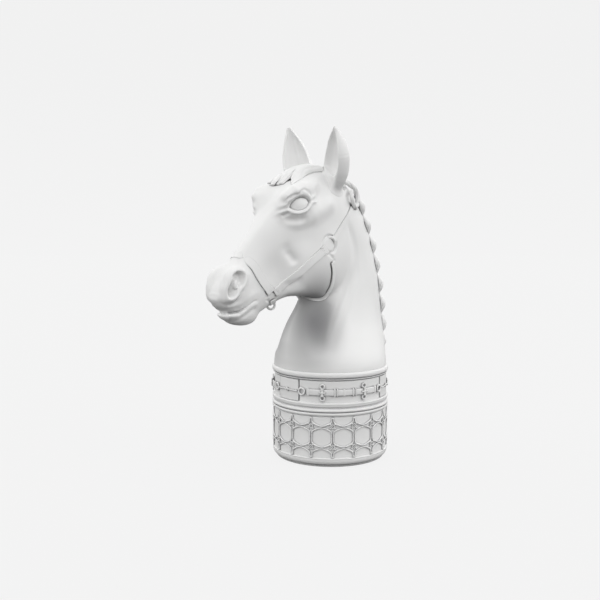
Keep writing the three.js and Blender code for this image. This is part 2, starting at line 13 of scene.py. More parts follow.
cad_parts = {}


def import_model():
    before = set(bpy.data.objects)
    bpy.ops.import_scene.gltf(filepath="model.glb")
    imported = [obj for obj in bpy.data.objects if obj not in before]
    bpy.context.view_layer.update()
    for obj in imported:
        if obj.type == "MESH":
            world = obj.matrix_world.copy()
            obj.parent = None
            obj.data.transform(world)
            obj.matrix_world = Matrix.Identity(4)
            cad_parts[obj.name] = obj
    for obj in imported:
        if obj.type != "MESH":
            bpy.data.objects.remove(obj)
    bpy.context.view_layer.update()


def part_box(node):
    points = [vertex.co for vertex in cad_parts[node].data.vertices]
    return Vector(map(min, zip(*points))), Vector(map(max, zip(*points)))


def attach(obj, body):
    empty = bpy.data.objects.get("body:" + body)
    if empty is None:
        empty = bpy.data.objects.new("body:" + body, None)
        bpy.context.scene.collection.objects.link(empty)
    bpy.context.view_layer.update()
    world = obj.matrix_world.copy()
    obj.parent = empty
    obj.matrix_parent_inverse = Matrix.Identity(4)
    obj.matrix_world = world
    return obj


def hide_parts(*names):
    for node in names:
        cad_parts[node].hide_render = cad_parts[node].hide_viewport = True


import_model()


def frame_extent(node, axis):
    """Lowest and highest value of a CAD node along an axis, in metres."""
    low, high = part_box(node)
    return low[axis], high[axis]


R = (frame_extent("drum_shell", 0)[1] - frame_extent("drum_shell", 0)[0]) / 2
STEP = 0.0135


def units(length):
    """A length in metres, in units of R."""
    return length / R


# ---------------------------------------------------------------- space and meshes

def world(points):
    """Row-frame metres from (s, t, z) in units of R."""
    points = np.asarray(points, float)
    return np.stack([points[..., 1], -points[..., 0], points[..., 2]], -1) * R


def make_mesh(name, vertices, faces):
    """A mesh object from vertices in metres and a list of index arrays of equal-sided faces."""
    mesh = bpy.data.meshes.new(name)
    groups = [np.asarray(f, np.int32) for f in faces if len(f)]
    loops = np.concatenate([g.ravel() for g in groups])
    totals = np.concatenate([np.full(len(g), g.shape[1], np.int32) for g in groups])
    starts = np.concatenate([[0], np.cumsum(totals)[:-1]]).astype(np.int32)
    mesh.vertices.add(len(vertices))
    mesh.vertices.foreach_set("co", np.asarray(vertices, np.float32).ravel())
    mesh.loops.add(len(loops))
    mesh.loops.foreach_set("vertex_index", loops)
    mesh.polygons.add(len(totals))
    mesh.polygons.foreach_set("loop_start", starts)
    mesh.polygons.foreach_set("loop_total", totals)
    mesh.polygons.foreach_set("use_smooth", np.full(len(totals), True))
    mesh.update(calc_edges=True)
    mesh.validate()
    thing = bpy.data.objects.new(name, mesh)
    bpy.context.scene.collection.objects.link(thing)
    return thing


def joined(parts):
    """One (vertices, faces) pair from several, faces as lists of index arrays."""
    vertices = []
    faces = []
    count = 0
    for points, groups in parts:
        vertices.append(points)
        faces.extend(np.asarray(g) + count for g in groups)
        count += len(points)
    return np.concatenate(vertices), faces


def spline(a, b, c, d, u):
    """The place at u, from 0 to 1, on the smooth curve from b to c, with a before it and d after it."""
    return 0.5 * (2 * b + (c - a) * u + (2 * a - 5 * b + 4 * c - d) * u ** 2
                  + (3 * b - a - 3 * c + d) * u ** 3)


def curve_through(points, count):
    """A smooth curve through points, sampled at even distances."""
    points = np.asarray(points, float)
    padded = np.vstack([2 * points[0] - points[1], points, 2 * points[-1] - points[-2]])
    samples = []
    for i in range(len(points) - 1):
        a, b, c, d = padded[i:i + 4]
        u = np.linspace(0, 1, 24, endpoint=False)[:, None]
        samples.append(spline(a, b, c, d, u))
    samples.append(points[-1:])
    dense = np.vstack(samples)
    length = np.concatenate([[0], np.cumsum(np.linalg.norm(np.diff(dense, axis=0), axis=1))])
    at = np.linspace(0, length[-1], count)
    return np.stack([np.interp(at, length, dense[:, k]) for k in range(dense.shape[1])], -1)


def unit(vectors):
    return vectors / np.maximum(np.linalg.norm(vectors, axis=-1, keepdims=True), 1e-9)


def soft_min(a, b, k):
    """The smaller of two distances, blended where they differ by less than k."""
    h = np.clip(0.5 + 0.5 * (b - a) / k, 0, 1)
    return b + (a - b) * h - k * h * (1 - h)


def soft_max(a, b, k):
    return -soft_min(-a, -b, k)


# ---------------------------------------------------------------- modelling clay

class Clay:
    """A block of space on an even grid. The value is a distance to the surface, negative inside."""

    def __init__(self, low, high, step, mirrored):
        self.step = step
        self.mirrored = mirrored
        starts = list(low)
        if mirrored:
            starts[1] = step / 2
        self.axes = [np.arange(a, b + step, step, dtype=np.float32) for a, b in zip(starts, high)]
        self.value = np.full([len(axis) for axis in self.axes], 3.0, np.float32)

    def window(self, low, high):
        """The part of the block between two corners: its slices and its coordinates."""
        slices = []
        grids = []
        for k, axis in enumerate(self.axes):
            i = max(int(np.searchsorted(axis, low[k])) - 1, 0)
            j = min(int(np.searchsorted(axis, high[k])) + 1, len(axis))
            slices.append(slice(i, j))
            shape = [1, 1, 1]
            shape[k] = -1
            grids.append(axis[i:j].reshape(shape))
        return tuple(slices), grids

    def around(self, points, reach):
        points = np.atleast_2d(points)
        return self.window(points.min(0) - reach, points.max(0) + reach)

    def add(self, distance, k, where):
        self.value[where] = soft_min(self.value[where], distance, k)

    def cut(self, distance, k, where):
        self.value[where] = soft_max(self.value[where], -distance, k)

    def ball(self, centre, size, k, turn=(0, 0, 0), both=False):
        """Adds an ellipsoid, or one on both sides. size is forward, sideways and up before turning."""
        centres = [centre]
        if both:
            centres.append((centre[0], -centre[1], centre[2]))
        for number, middle in enumerate(centres):
            slices, grids = self.around(middle, max(size) + 3 * k + 0.03)
            tilt, toe, roll = turn
            if number:
                toe, roll = -toe, -roll
            distance = ellipsoid(grids, middle, size, (tilt, toe, roll))
            self.add(distance, k, slices)

    def tube(self, points, radii, k):
        """Adds a round bar along a line of points, with a radius at each point."""
        points = np.asarray(points, float)
        slices, grids = self.around(points, max(radii) + 3 * k + 0.03)
        distance = bar(grids, points, radii)
        self.add(distance, k, slices)

    def swell(self, centre, reach, height, turn=(0, 0, 0)):
        """Raises the surface softly near a point, or sinks it if height is negative."""
        slices, grids = self.around(centre, 2.6 * max(reach))
        near = turned(grids, centre, turn)
        spread = sum((d / r) ** 2 for d, r in zip(near, reach))
        self.value[slices] -= height * np.exp(-spread)

    def groove(self, path, width, depth, fade_rate):
        """Sinks the surface along a path, fading at both ends over one part in fade_rate."""
        slices, grids = self.around(path, 3.2 * width)
        distance, share = to_line(grids, path)
        fade = np.clip(np.minimum(share, 1 - share) * fade_rate, 0, 1)
        fade = fade * fade * (3 - 2 * fade)
        self.value[slices] += depth * fade * np.exp(-(distance / width) ** 2)

    def crease(self, points, width, depth):
        """A groove along a line of points, or a ridge if depth is negative. It fades at both ends."""
        self.groove(curve_through(points, 40), width, depth, 6)

    def on_surface(self, points):
        """A smooth line through points that are first moved onto the surface."""
        origin = [axis[0] for axis in self.axes]
        path = curve_through(points, 24)
        path = to_surface(self.value, origin, self.step, path, rounds=8)
        return curve_through(path[::3], 60)

    def crease_on(self, points, width, depth):
        """A crease along points that are first moved onto the surface."""
        self.crease([tuple(p) for p in self.on_surface(points)], width, depth)

    def groove_on(self, points, width, depth):
        """A broad, soft hollow that lies on the surface and fades over a third of its length at each end."""
        self.groove(self.on_surface(points), width, depth, 3)

    def whole(self):
        """The values and the first corner of the whole block, with the right half if it is mirrored."""
        if not self.mirrored:
            return self.value, np.array([axis[0] for axis in self.axes], float)
        full = np.concatenate([self.value[:, ::-1, :], self.value], 1)
        return full, np.array([self.axes[0][0], -self.axes[1][-1], self.axes[2][0]], float)


def turned(grids, centre, turn):
    """Coordinates round a centre, in axes that are tilted (nose up), toed out and rolled by degrees."""
    tilt, toe, roll = [math.radians(angle) for angle in turn]
    ds, dt, dz = [grid - c for grid, c in zip(grids, centre)]
    forward = ds * math.cos(toe) + dt * math.sin(toe)
    side = -ds * math.sin(toe) + dt * math.cos(toe)
    ahead = forward * math.cos(tilt) + dz * math.sin(tilt)
    up = -forward * math.sin(tilt) + dz * math.cos(tilt)
    across = side * math.cos(roll) + up * math.sin(roll)
    upright = -side * math.sin(roll) + up * math.cos(roll)
    return ahead, across, upright


def ellipsoid(grids, centre, size, turn=(0, 0, 0)):
    near = turned(grids, centre, turn)
    k0 = np.sqrt(sum((d / r) ** 2 for d, r in zip(near, size)))
    k1 = np.sqrt(sum((d / r ** 2) ** 2 for d, r in zip(near, size)))
    return k0 * (k0 - 1) / np.maximum(k1, 1e-4)


def to_segment(grids, a, b):
    """How far along from a to b the nearest place is, from 0 to 1, and its distance squared."""
    run = b - a
    length2 = float(run @ run) + 1e-12
    ds, dt, dz = [grid - c for grid, c in zip(grids, a)]
    u = np.clip((ds * run[0] + dt * run[1] + dz * run[2]) / length2, 0, 1)
    return u, (ds - u * run[0]) ** 2 + (dt - u * run[1]) ** 2 + (dz - u * run[2]) ** 2


def to_line(grids, path):
    """Distance to a line of points, and how far along it the nearest place is, from 0 to 1."""
    best = None
    share = None
    for i in range(len(path) - 1):
        u, d2 = to_segment(grids, path[i], path[i + 1])
        if best is None:
            best, share = d2, (i + u) / (len(path) - 1)
        else:
            nearer = d2 < best
            share = np.where(nearer, (i + u) / (len(path) - 1), share)
            best = np.minimum(best, d2)
    return np.sqrt(best), share


def bar(grids, points, radii):
    """Distance to a round bar along a line of points, with a radius at each point."""
    best = None
    for i in range(len(points) - 1):
        u, d2 = to_segment(grids, points[i], points[i + 1])
        d = np.sqrt(d2) - (radii[i] + (radii[i + 1] - radii[i]) * u)
        best = d if best is None else soft_min(best, d, 0.02)
    return best


def smooth_sections(sections, count):
    """Sections (top s, top z, bottom s, bottom z, half-width, lower narrowing, squareness), resampled."""
    table = np.asarray(sections, float)
    places = np.linspace(0, len(table) - 1, count)
    padded = np.vstack([2 * table[0] - table[1], table, 2 * table[-1] - table[-2]])
    rows = []
    for place in places:
        i = min(int(place), len(table) - 2)
        u = place - i
        a, b, c, d = padded[i:i + 4]
        rows.append(spline(a, b, c, d, u))
    return np.asarray(rows)


def loft(clay, sections):
    """Distance to a tube whose sections are lines in the side view with a width."""
    table = smooth_sections(sections, 90)
    s = clay.axes[0][:, None]
    z = clay.axes[2][None, :]
    middles = (table[:, 0:2] + table[:, 2:4]) / 2
    halves = (table[:, 0:2] - table[:, 2:4]) / 2
    normals = np.stack([halves[:, 1], -halves[:, 0]], -1)
    normals = unit(normals)
    if ((middles[1] - middles[0]) @ normals[0]) < 0:
        normals = -normals
    ahead = np.stack([(s - m[0]) * n[0] + (z - m[1]) * n[1] for m, n in zip(middles, normals)])
    passed = ahead >= 0
    index = np.clip(passed.sum(0) - 1, 0, len(table) - 2)
    grid_i, grid_j = np.indices(index.shape)
    here = ahead[index, grid_i, grid_j]
    beyond = ahead[index + 1, grid_i, grid_j]
    share = np.clip(here / np.maximum(here - beyond, 1e-6), 0, 1)[..., None]
    row = table[index] * (1 - share) + table[index + 1] * share
    middle = (row[..., 0:2] + row[..., 2:4]) / 2
    half = (row[..., 0:2] - row[..., 2:4]) / 2
    reach = np.linalg.norm(half, axis=-1)
    ds, dz = s - middle[..., 0], z - middle[..., 1]
    up = (ds * half[..., 0] + dz * half[..., 1]) / reach ** 2
    width = row[..., 4] * (1 + row[..., 5] * np.clip(up, -1, 1))
    power = 2 / (1 - 0.45 * np.clip(row[..., 6], 0, 1))
    over = np.maximum(-ahead[0], 0) + np.maximum(ahead[-1], 0)
    t = clay.axes[1][None, :, None]
    up3, width3, power3 = up[:, None, :], width[:, None, :], power[:, None, :]
    ratio = (np.abs(t / width3) ** power3 + np.abs(up3) ** power3) ** (1 / power3)
    radial = np.sqrt(t ** 2 + (up * reach)[:, None, :] ** 2)
    ratio = np.maximum(ratio, 0.05)
    distance = radial * (1 - 1 / ratio)
    distance = np.where(ratio <= 0.05, -0.3, distance)
    cap = over[:, None, :]
    past_end = np.sqrt(np.maximum(distance, 0) ** 2 + cap ** 2)
    return np.where(cap > 0, past_end, distance).astype(np.float32)


def evened(value, step):
    """The same surface with a slope near one, so that later bumps and blends keep their sizes."""
    slopes = np.gradient(value, step)
    steep = np.sqrt(sum(slope ** 2 for slope in slopes))
    return (value / np.clip(steep, 0.35, 3)).astype(np.float32)


def sample(value, origin, step, points):
    """Values between grid points, and the slope there."""
    place = (points - origin) / step
    base = np.clip(np.floor(place).astype(int), 0, np.array(value.shape) - 2)
    f = np.clip(place - base, 0, 1)
    i, j, k = base.T
    fx, fy, fz = f.T
    c = [value[i + a, j + b, k + d].astype(float) for a in (0, 1) for b in (0, 1) for d in (0, 1)]
    x00, x01, x10, x11 = [c[n] + (c[n + 4] - c[n]) * fx for n in (0, 1, 2, 3)]
    y0, y1 = x00 + (x10 - x00) * fy, x01 + (x11 - x01) * fy
    return y0 + (y1 - y0) * fz


def slope_at(value, origin, step, points):
    parts = []
    for k in range(3):
        shift = np.zeros(3)
        shift[k] = step
        ahead = sample(value, origin, step, points + shift)
        behind = sample(value, origin, step, points - shift)
        parts.append((ahead - behind) / (2 * step))
    return np.stack(parts, -1)


def to_surface(value, origin, step, points, rounds=3):
    """Points moved down the slope of the values to where they cross zero."""
    points = np.array(points, float)
    for _ in range(rounds):
        f = sample(value, origin, step, points)
        g = slope_at(value, origin, step, points)
        move = f[:, None] * g / np.maximum((g * g).sum(-1, keepdims=True), 0.05)
        size = np.linalg.norm(move, axis=1, keepdims=True)
        points -= move * np.minimum(1, 0.1 / np.maximum(size, 1e-9))
    return points


def surface_net(value, origin, step):
    """Vertices in units of R and quads of the surface where the value crosses zero."""
    inside = value < 0
    cell = np.zeros([n - 1 for n in value.shape], np.int8)
    for a in (0, 1):
        for b in (0, 1):
            for c in (0, 1):
                cell += inside[a:a + cell.shape[0], b:b + cell.shape[1], c:c + cell.shape[2]]
    active = (cell > 0) & (cell < 8)
    where = np.argwhere(active)
    number = np.full(cell.shape, -1, np.int32)
    number[active] = np.arange(len(where))
    corners = [(a, b, c) for a in (0, 1) for b in (0, 1) for c in (0, 1)]
    values = {k: value[where[:, 0] + k[0], where[:, 1] + k[1], where[:, 2] + k[2]] for k in corners}
    total = np.zeros((len(where), 3))
    count = np.zeros(len(where))
    for k in corners:
        for axis in range(3):
            if k[axis]:
                continue
            far = list(k)
            far[axis] = 1
            a, b = values[k], values[tuple(far)]
            crossing = (a < 0) != (b < 0)
            share = np.where(crossing, a / np.where(crossing, a - b, 1), 0)
            for m in range(3):
                total[:, m] += np.where(crossing, k[m] + (share if m == axis else 0), 0)
            count += crossing
    vertices = origin + (where + total / np.maximum(count, 1)[:, None]) * step
    quads = []
    for axis in range(3):
        b, c = [k for k in range(3) if k != axis]
        low = [slice(None)] * 3
        high = [slice(None)] * 3
        low[axis], high[axis] = slice(0, -1), slice(1, None)
        first, second = inside[tuple(low)], inside[tuple(high)]
        edge = np.argwhere(first != second)
        keep = (edge[:, b] > 0) & (edge[:, c] > 0)
        keep &= (edge[:, b] < value.shape[b] - 1) & (edge[:, c] < value.shape[c] - 1)
        edge = edge[keep]
        ring = []
        for shift_b, shift_c in ((1, 1), (0, 1), (0, 0), (1, 0)):
            spot = edge.copy()
            spot[:, b] -= shift_b
            spot[:, c] -= shift_c
            ring.append(number[spot[:, 0], spot[:, 1], spot[:, 2]])
        quad = np.stack(ring, -1)
        outward = first[edge[:, 0], edge[:, 1], edge[:, 2]]
        if axis == 1:
            outward = ~outward
        quads.append(np.where(outward[:, None], quad, quad[:, ::-1]))
    return vertices, np.concatenate(quads)


def fired(name, clay):
    """The clay's surface as a mesh object."""
    value, origin = clay.whole()
    vertices, quads = surface_net(value, origin, clay.step)
    vertices = to_surface(value, origin, clay.step, vertices)
    # (s, t, z) to (t, -s, z) keeps the handedness of the faces
    return make_mesh(name, world(vertices), [quads])


# ---------------------------------------------------------------- neck and head

COLLAR_TOP = units(frame_extent("collar_band", 2)[1])
NECK_FOOT = COLLAR_TOP - 0.02

# Rows: crest s, crest z, throat s, throat z, half-width, narrowing of the throat side, squareness
NECK = [
    (-0.965, 1.50, 0.965, 1.50, 0.965, 0, 0),
    (-0.970, 1.64, 0.970, 1.64, 0.955, 0, 0),
    (-1.000, 1.80, 0.975, 1.80, 0.89, 0, 0),
    (-1.060, 2.05, 0.960, 2.05, 0.74, 0, 0),
    (-1.080, 2.36, 0.860, 2.34, 0.60, -0.03, 0),
    (-1.060, 2.72, 0.680, 2.64, 0.51, -0.05, 0),
    (-1.020, 3.10, 0.500, 2.90, 0.45, -0.08, 0),
    (-0.930, 3.50, 0.400, 3.12, 0.41, -0.14, 0),
    (-0.800, 3.93, 0.380, 3.35, 0.38, -0.18, 0),
    (-0.560, 4.36, 0.420, 3.60, 0.37, -0.18, 0),
    (-0.260, 4.66, 0.500, 3.80, 0.36, -0.18, 0),
]

# Rows: face s, face z, jaw s, jaw z, half-width, widening of the face side, squareness
HEAD = [
    (-0.12, 4.66, -0.10, 3.40, 0.34, -0.10, 0.0),
    (0.08, 4.82, -0.04, 3.08, 0.42, -0.06, 0.2),
    (0.38, 4.87, 0.16, 2.86, 0.455, 0.00, 0.5),
    (0.78, 4.76, 0.50, 2.77, 0.47, 0.05, 0.8),
    (1.16, 4.49, 0.86, 2.82, 0.43, 0.10, 0.9),
    (1.46, 4.14, 1.14, 2.78, 0.36, 0.03, 0.7),
    (1.74, 3.82, 1.38, 2.69, 0.30, -0.08, 0.5),
    (2.00, 3.52, 1.60, 2.58, 0.265, -0.10, 0.4),
    (2.20, 3.27, 1.82, 2.46, 0.26, -0.05, 0.3),
    (2.345, 3.06, 2.05, 2.44, 0.25, 0.02, 0.2),
    (2.415, 2.92, 2.21, 2.50, 0.21, 0.05, 0.1),
]

# Places on the left cheek where the halter's rings and snap lie
CHEEK_RING = (0.470, 0.50, 3.650)
NOSE_RING = (1.490, 0.26, 2.835)
SNAP = (0.445, 0.507, 3.480)
STRAP_WIDE = 0.125
STRAP_THICK = 0.044

EYE = np.array([1.040, 0.290, 4.285])
EYE_RADIUS = 0.225
EYE_OUT = unit(np.array([0.30, 0.94, 0.08]))
EYE_ALONG = np.array([0.96, -0.22, -0.20])
EYE_ALONG = unit(EYE_ALONG - EYE_OUT * (EYE_ALONG @ EYE_OUT))
EYE_UP = np.cross(EYE_OUT, EYE_ALONG)
if EYE_UP[2] < 0:
    EYE_UP = -EYE_UP


def main_masses(clay):
    neck = evened(loft(clay, NECK), clay.step)
    head = evened(loft(clay, HEAD), clay.step)
    clay.value = head
    clay.ball((0.40, 0.24, 3.38), (0.60, 0.255, 0.64), 0.12, turn=(-15, 0, 0))
    clay.ball((0.86, 0.22, 3.30), (0.46, 0.20, 0.46), 0.14, turn=(-30, 0, 0))
    jaw_and_skull = clay.value
    clay.value = soft_min(jaw_and_skull, neck, 0.05)


def brow_and_eye_socket(clay):
    clay.ball((0.98, 0.32, 4.42), (0.38, 0.15, 0.16), 0.14, turn=(-30, -8, 0))
    clay.ball((1.06, 0.33, 4.26), (0.30, 0.15, 0.26), 0.16, turn=(-30, -12, 0))
    clay.ball((1.08, 0.37, 4.47), (0.24, 0.11, 0.08), 0.14, turn=(-22, 0, 0))
    clay.tube([(0.86, 0.40, 4.53), (1.02, 0.44, 4.555), (1.18, 0.45, 4.51), (1.28, 0.41, 4.42)],
              (0.03, 0.045, 0.045, 0.03), 0.15)
    clay.tube([(1.10, 0.38, 4.06), (0.80, 0.405, 4.12), (0.46, 0.40, 4.28)], (0.04, 0.05, 0.04), 0.20)
    clay.swell((0.70, 0.44, 4.50), (0.22, 0.22, 0.16), -0.025)


def nose_and_cheek_planes(clay):
    clay.groove_on([(1.40, 0.40, 3.68), (1.26, 0.42, 3.54), (1.16, 0.44, 3.40), (1.10, 0.44, 3.27)],
                   0.085, 0.024)
    clay.groove_on([(1.30, 0.42, 3.57), (1.20, 0.43, 3.45), (1.12, 0.44, 3.31)], 0.050, 0.026)
    clay.swell((1.02, 0.46, 3.50), (0.16, 0.14, 0.22), 0.02)
    clay.swell((1.50, 0.34, 3.25), (0.26, 0.2, 0.24), -0.035)
    clay.swell((1.78, 0.22, 3.62), (0.26, 0.10, 0.22), -0.02, turn=(-45, 0, 0))
    clay.crease([(1.36, 0.20, 4.28), (1.66, 0.16, 3.92), (2.02, 0.13, 3.50)], 0.08, -0.012)
    clay.groove_on([(1.42, 0.28, 2.78), (1.18, 0.34, 2.84), (0.94, 0.38, 2.92), (0.80, 0.40, 2.96)], 0.07,
                   -0.022)
    clay.groove_on([(1.34, 0.34, 2.98), (1.12, 0.40, 3.05), (0.92, 0.42, 3.14)], 0.06, 0.020)


def muzzle(clay):
    clay.ball((2.12, 0.140, 3.09), (0.25, 0.150, 0.23), 0.12, turn=(-35, 10, 0), both=True)
    clay.ball((2.215, 0.0, 2.88), (0.20, 0.225, 0.20), 0.12)
    clay.ball((2.28, 0.0, 2.79), (0.16, 0.20, 0.13), 0.10)
    clay.ball((2.08, 0.0, 2.55), (0.20, 0.19, 0.095), 0.06)
    clay.ball((1.92, 0.0, 2.56), (0.27, 0.205, 0.165), 0.08, turn=(8, 0, 0))
    clay.swell((2.02, 0.25, 2.88), (0.18, 0.1, 0.10), 0.018)


def mouth(clay):
    """The lips part from the front corner, and the line rises to the corner of the mouth."""
    slices, grids = clay.window((1.60, 0, 2.4), (2.6, 0.6, 3.1))
    s, _, z = grids
    along = np.array([1.74, 1.82, 1.90, 2.00, 2.12, 2.24, 2.34, 2.42, 2.60])
    height = np.array([2.80, 2.795, 2.765, 2.700, 2.635, 2.622, 2.640, 2.70, 2.74])
    line = np.interp(s, along, height)
    fade = np.clip((s - 1.745) / 0.08, 0, 1)
    deep = np.clip((s - 1.98) / 0.16, 0, 1)
    wide = 0.015 + 0.009 * deep
    near = z - line
    clay.value[slices] += (0.014 + 0.044 * deep) * fade * np.exp(-(near / wide) ** 2)
    clay.value[slices] += 0.026 * deep * np.exp(-((near - 0.05) / 0.06) ** 2)
    clay.value[slices] -= (0.006 + 0.006 * deep) * fade * np.exp(-((near - 0.12) / 0.05) ** 2)
    clay.value[slices] -= 0.012 * fade * np.exp(-((near + 0.06) / 0.03) ** 2)
    clay.value[slices] += 0.012 * fade * np.exp(-((near + 0.135) / 0.035) ** 2)
    clay.crease([(1.80, 0.30, 2.86), (1.745, 0.31, 2.80), (1.74, 0.30, 2.72)], 0.028, 0.03)
    clay.crease([(1.70, 0.31, 2.90), (1.65, 0.32, 2.82), (1.65, 0.31, 2.72)], 0.03, 0.014)


NOSTRIL_EDGE = [(2.325, 3.09), (2.26, 3.225), (2.14, 3.270), (2.045, 3.215), (2.085, 3.085), (2.17, 3.01),
                (2.265, 2.90), (2.345, 2.88), (2.36, 2.99)]


def inside_outline(s, z, outline):
    """Signed distance to a closed outline in the side view, negative inside."""
    outline = np.array(outline)
    closed = curve_through(np.vstack([outline, outline[:1]]), 60)[:-1]
    after = np.roll(closed, -1, 0)
    best = np.full(np.broadcast(s, z).shape, 9.0)
    crossings = np.zeros(best.shape, int)
    for (s0, z0), (s1, z1) in zip(closed, after):
        run = np.clip(((s - s0) * (s1 - s0) + (z - z0) * (z1 - z0)) / ((s1 - s0) ** 2 + (z1 - z0) ** 2), 0, 1)
        best = np.minimum(best, np.hypot(s - s0 - run * (s1 - s0), z - z0 - run * (z1 - z0)))
        straddles = (z0 > z) != (z1 > z)
        crossings += straddles & (s < s0 + (z - z0) * (s1 - s0) / (z1 - z0 + 1e-9))
    return np.where(crossings % 2 == 1, -best, best)


def nostril(clay):
    """A comma-shaped opening with a rolled rim, deepest at the top, and a fold inside."""
    slices, grids = clay.window((1.86, 0.06, 2.72), (2.52, 0.55, 3.46))
    s, t, z = grids
    away = inside_outline(s[:, :, 0][:, :, None], z[0, :, :][None, :, :], NOSTRIL_EDGE)
    value = clay.value[slices]
    side = np.clip((t - 0.10) / 0.08, 0, 1)
    front = np.clip((s - 2.12) / 0.14, 0, 1)
    value -= side * (0.030 + 0.028 * front) * np.exp(-((away - 0.030) / (0.034 + 0.012 * front)) ** 2)
    value += side * 0.022 * np.exp(-((away - 0.115) / 0.030) ** 2) * front
    top = np.exp(-((s - 2.125) ** 2 + (z - 3.205) ** 2) / 0.075 ** 2)
    foot = np.exp(-((s - 2.305) ** 2 + (z - 2.935) ** 2) / 0.065 ** 2)
    depth = 0.036 + 0.15 * top + 0.045 * foot
    value += side * depth * np.clip(-away / 0.030, 0, 1) ** 0.8
    clay.value[slices] = value
    clay.crease([(2.215, 0.28, 2.99), (2.225, 0.28, 3.07), (2.19, 0.26, 3.16)], 0.032, -0.065)


def eyelids(clay):
    clay.ball(tuple(EYE), (EYE_RADIUS + 0.040,) * 3, 0.06)
    slices, grids = clay.around(EYE, 0.46)
    away = [grid - c for grid, c in zip(grids, EYE)]
    length = np.sqrt(sum(d ** 2 for d in away)) + 1e-6
    out = sum(d * n for d, n in zip(away, EYE_OUT)) / length
    along = sum(d * n for d, n in zip(away, EYE_ALONG)) / length
    high = sum(d * n for d, n in zip(away, EYE_UP)) / length
    reach = 0.72
    span = np.clip(1 - (along / reach) ** 2, 0, 1)
    upper = 0.46 * span ** 0.62 - 0.03 - 0.06 * along
    lower = -0.38 * span ** 0.75 - 0.03 - 0.06 * along
    opening = np.maximum(high - upper, lower - high) * length
    opening = np.maximum(opening, (np.abs(along) - reach) * length)
    front = np.where(out > 0.05, opening, 1.0)
    near = clay.value[slices]
    facing = np.clip((out - 0.05) / 0.2, 0, 1)
    ends = np.clip((1.02 - np.abs(along)) / 0.14, 0, 1) * facing
    near -= 0.014 * np.exp(-((high - upper - 0.15) / 0.10) ** 2) * ends
    near -= 0.020 * np.exp(-((lower - high - 0.10) / 0.07) ** 2) * ends
    near = soft_max(near, -front, 0.010)
    clay.value[slices] = near
    clay.crease_on([(1.30, 0.42, 4.30), (1.285, 0.42, 4.39), (1.20, 0.45, 4.465), (1.09, 0.48, 4.50),
                    (0.98, 0.50, 4.48), (0.89, 0.52, 4.41), (0.85, 0.52, 4.34)], 0.020, 0.040)
    clay.crease_on([(1.25, 0.42, 4.165), (1.32, 0.39, 4.125), (1.40, 0.35, 4.09)], 0.020, 0.030)
    clay.groove_on([(1.40, 0.37, 4.07), (1.24, 0.43, 4.045), (1.08, 0.48, 4.05), (0.90, 0.50, 4.12)],
                   0.05, 0.040)


def forelock_parting(clay):
    """The gap in the skin between the near lock and the far strands."""
    clay.crease_on([(0.40, 0.00, 4.90), (0.58, 0.00, 4.88), (0.80, 0.02, 4.78), (1.00, 0.08, 4.65)],
                   0.034, 0.090)


def neck_details(clay):
    jugular = [(-0.24, 0.44, 3.35), (-0.08, 0.45, 2.98), (0.12, 0.48, 2.62), (0.36, 0.53, 2.26),
               (0.58, 0.62, 1.88), (0.70, 0.74, 1.62)]
    clay.groove_on(jugular, 0.085, 0.070)
    windpipe = [(0.42, 0.30, 2.84), (0.56, 0.36, 2.56), (0.66, 0.44, 2.26), (0.72, 0.54, 1.92),
                (0.78, 0.62, 1.66)]
    clay.groove_on(windpipe, 0.17, 0.085)
    between = [(0.24, 0.44, 2.74), (0.40, 0.48, 2.46), (0.55, 0.55, 2.12), (0.66, 0.64, 1.82)]
    clay.groove_on(between, 0.09, -0.030)
    shoulder = [(-0.30, 0.46, 3.8), (-0.40, 0.46, 3.3), (-0.40, 0.52, 2.8), (-0.30, 0.66, 2.2)]
    clay.groove_on(shoulder, 0.18, 0.016)
    behind_jaw = [(0.02, 0.44, 4.16), (-0.18, 0.46, 3.72), (-0.22, 0.46, 3.34), (-0.12, 0.46, 2.98),
                  (0.10, 0.46, 2.76)]
    clay.groove_on(behind_jaw, 0.07, 0.028)


def ring_groove(clay, centre, radius, width, depth):
    """A groove round a place where a flat ring lies on the cheek."""
    turn = np.radians(np.linspace(0, 360, 20))
    points = [(centre[0] + radius * math.cos(a), centre[1], centre[2] + radius * math.sin(a)) for a in turn]
    path = clay.on_surface(points)
    slices, grids = clay.around(path, 3.2 * width)
    distance, _ = to_line(grids, path)
    clay.value[slices] += depth * np.exp(-(distance / width) ** 2)


def halter_grooves(clay):
    """Fine dark grooves in the skin beside the halter's rings, snaps and straps."""
    ring_groove(clay, CHEEK_RING, 0.142, 0.018, 0.035)
    ring_groove(clay, NOSE_RING, 0.100, 0.018, 0.035)
    clay.crease_on([(0.56, 0.50, 3.500), (0.49, 0.50, 3.490), (0.43, 0.50, 3.440), (0.38, 0.50, 3.380)],
                   0.018, 0.055)
    clay.crease_on([(0.36, 0.50, 3.400), (0.42, 0.50, 3.355), (0.48, 0.50, 3.320)], 0.016, 0.045)
    throat = [(0.452, 0.50, 3.37), (0.415, 0.49, 3.26), (0.398, 0.48, 3.14), (0.395, 0.45, 3.02),
              (0.41, 0.42, 2.90), (0.46, 0.33, 2.78)]
    clay.crease_on(throat, 0.020, 0.060)
    clay.crease_on([(1.93, 0.18, 3.41), (1.875, 0.23, 3.32), (1.797, 0.26, 3.18), (1.70, 0.27, 3.05),
                    (1.62, 0.28, 2.93)], 0.015, 0.030)
    clay.crease_on([(1.64, 0.28, 2.955), (1.60, 0.28, 2.90), (1.56, 0.28, 2.905), (1.53, 0.28, 2.955)],
                   0.016, 0.045)


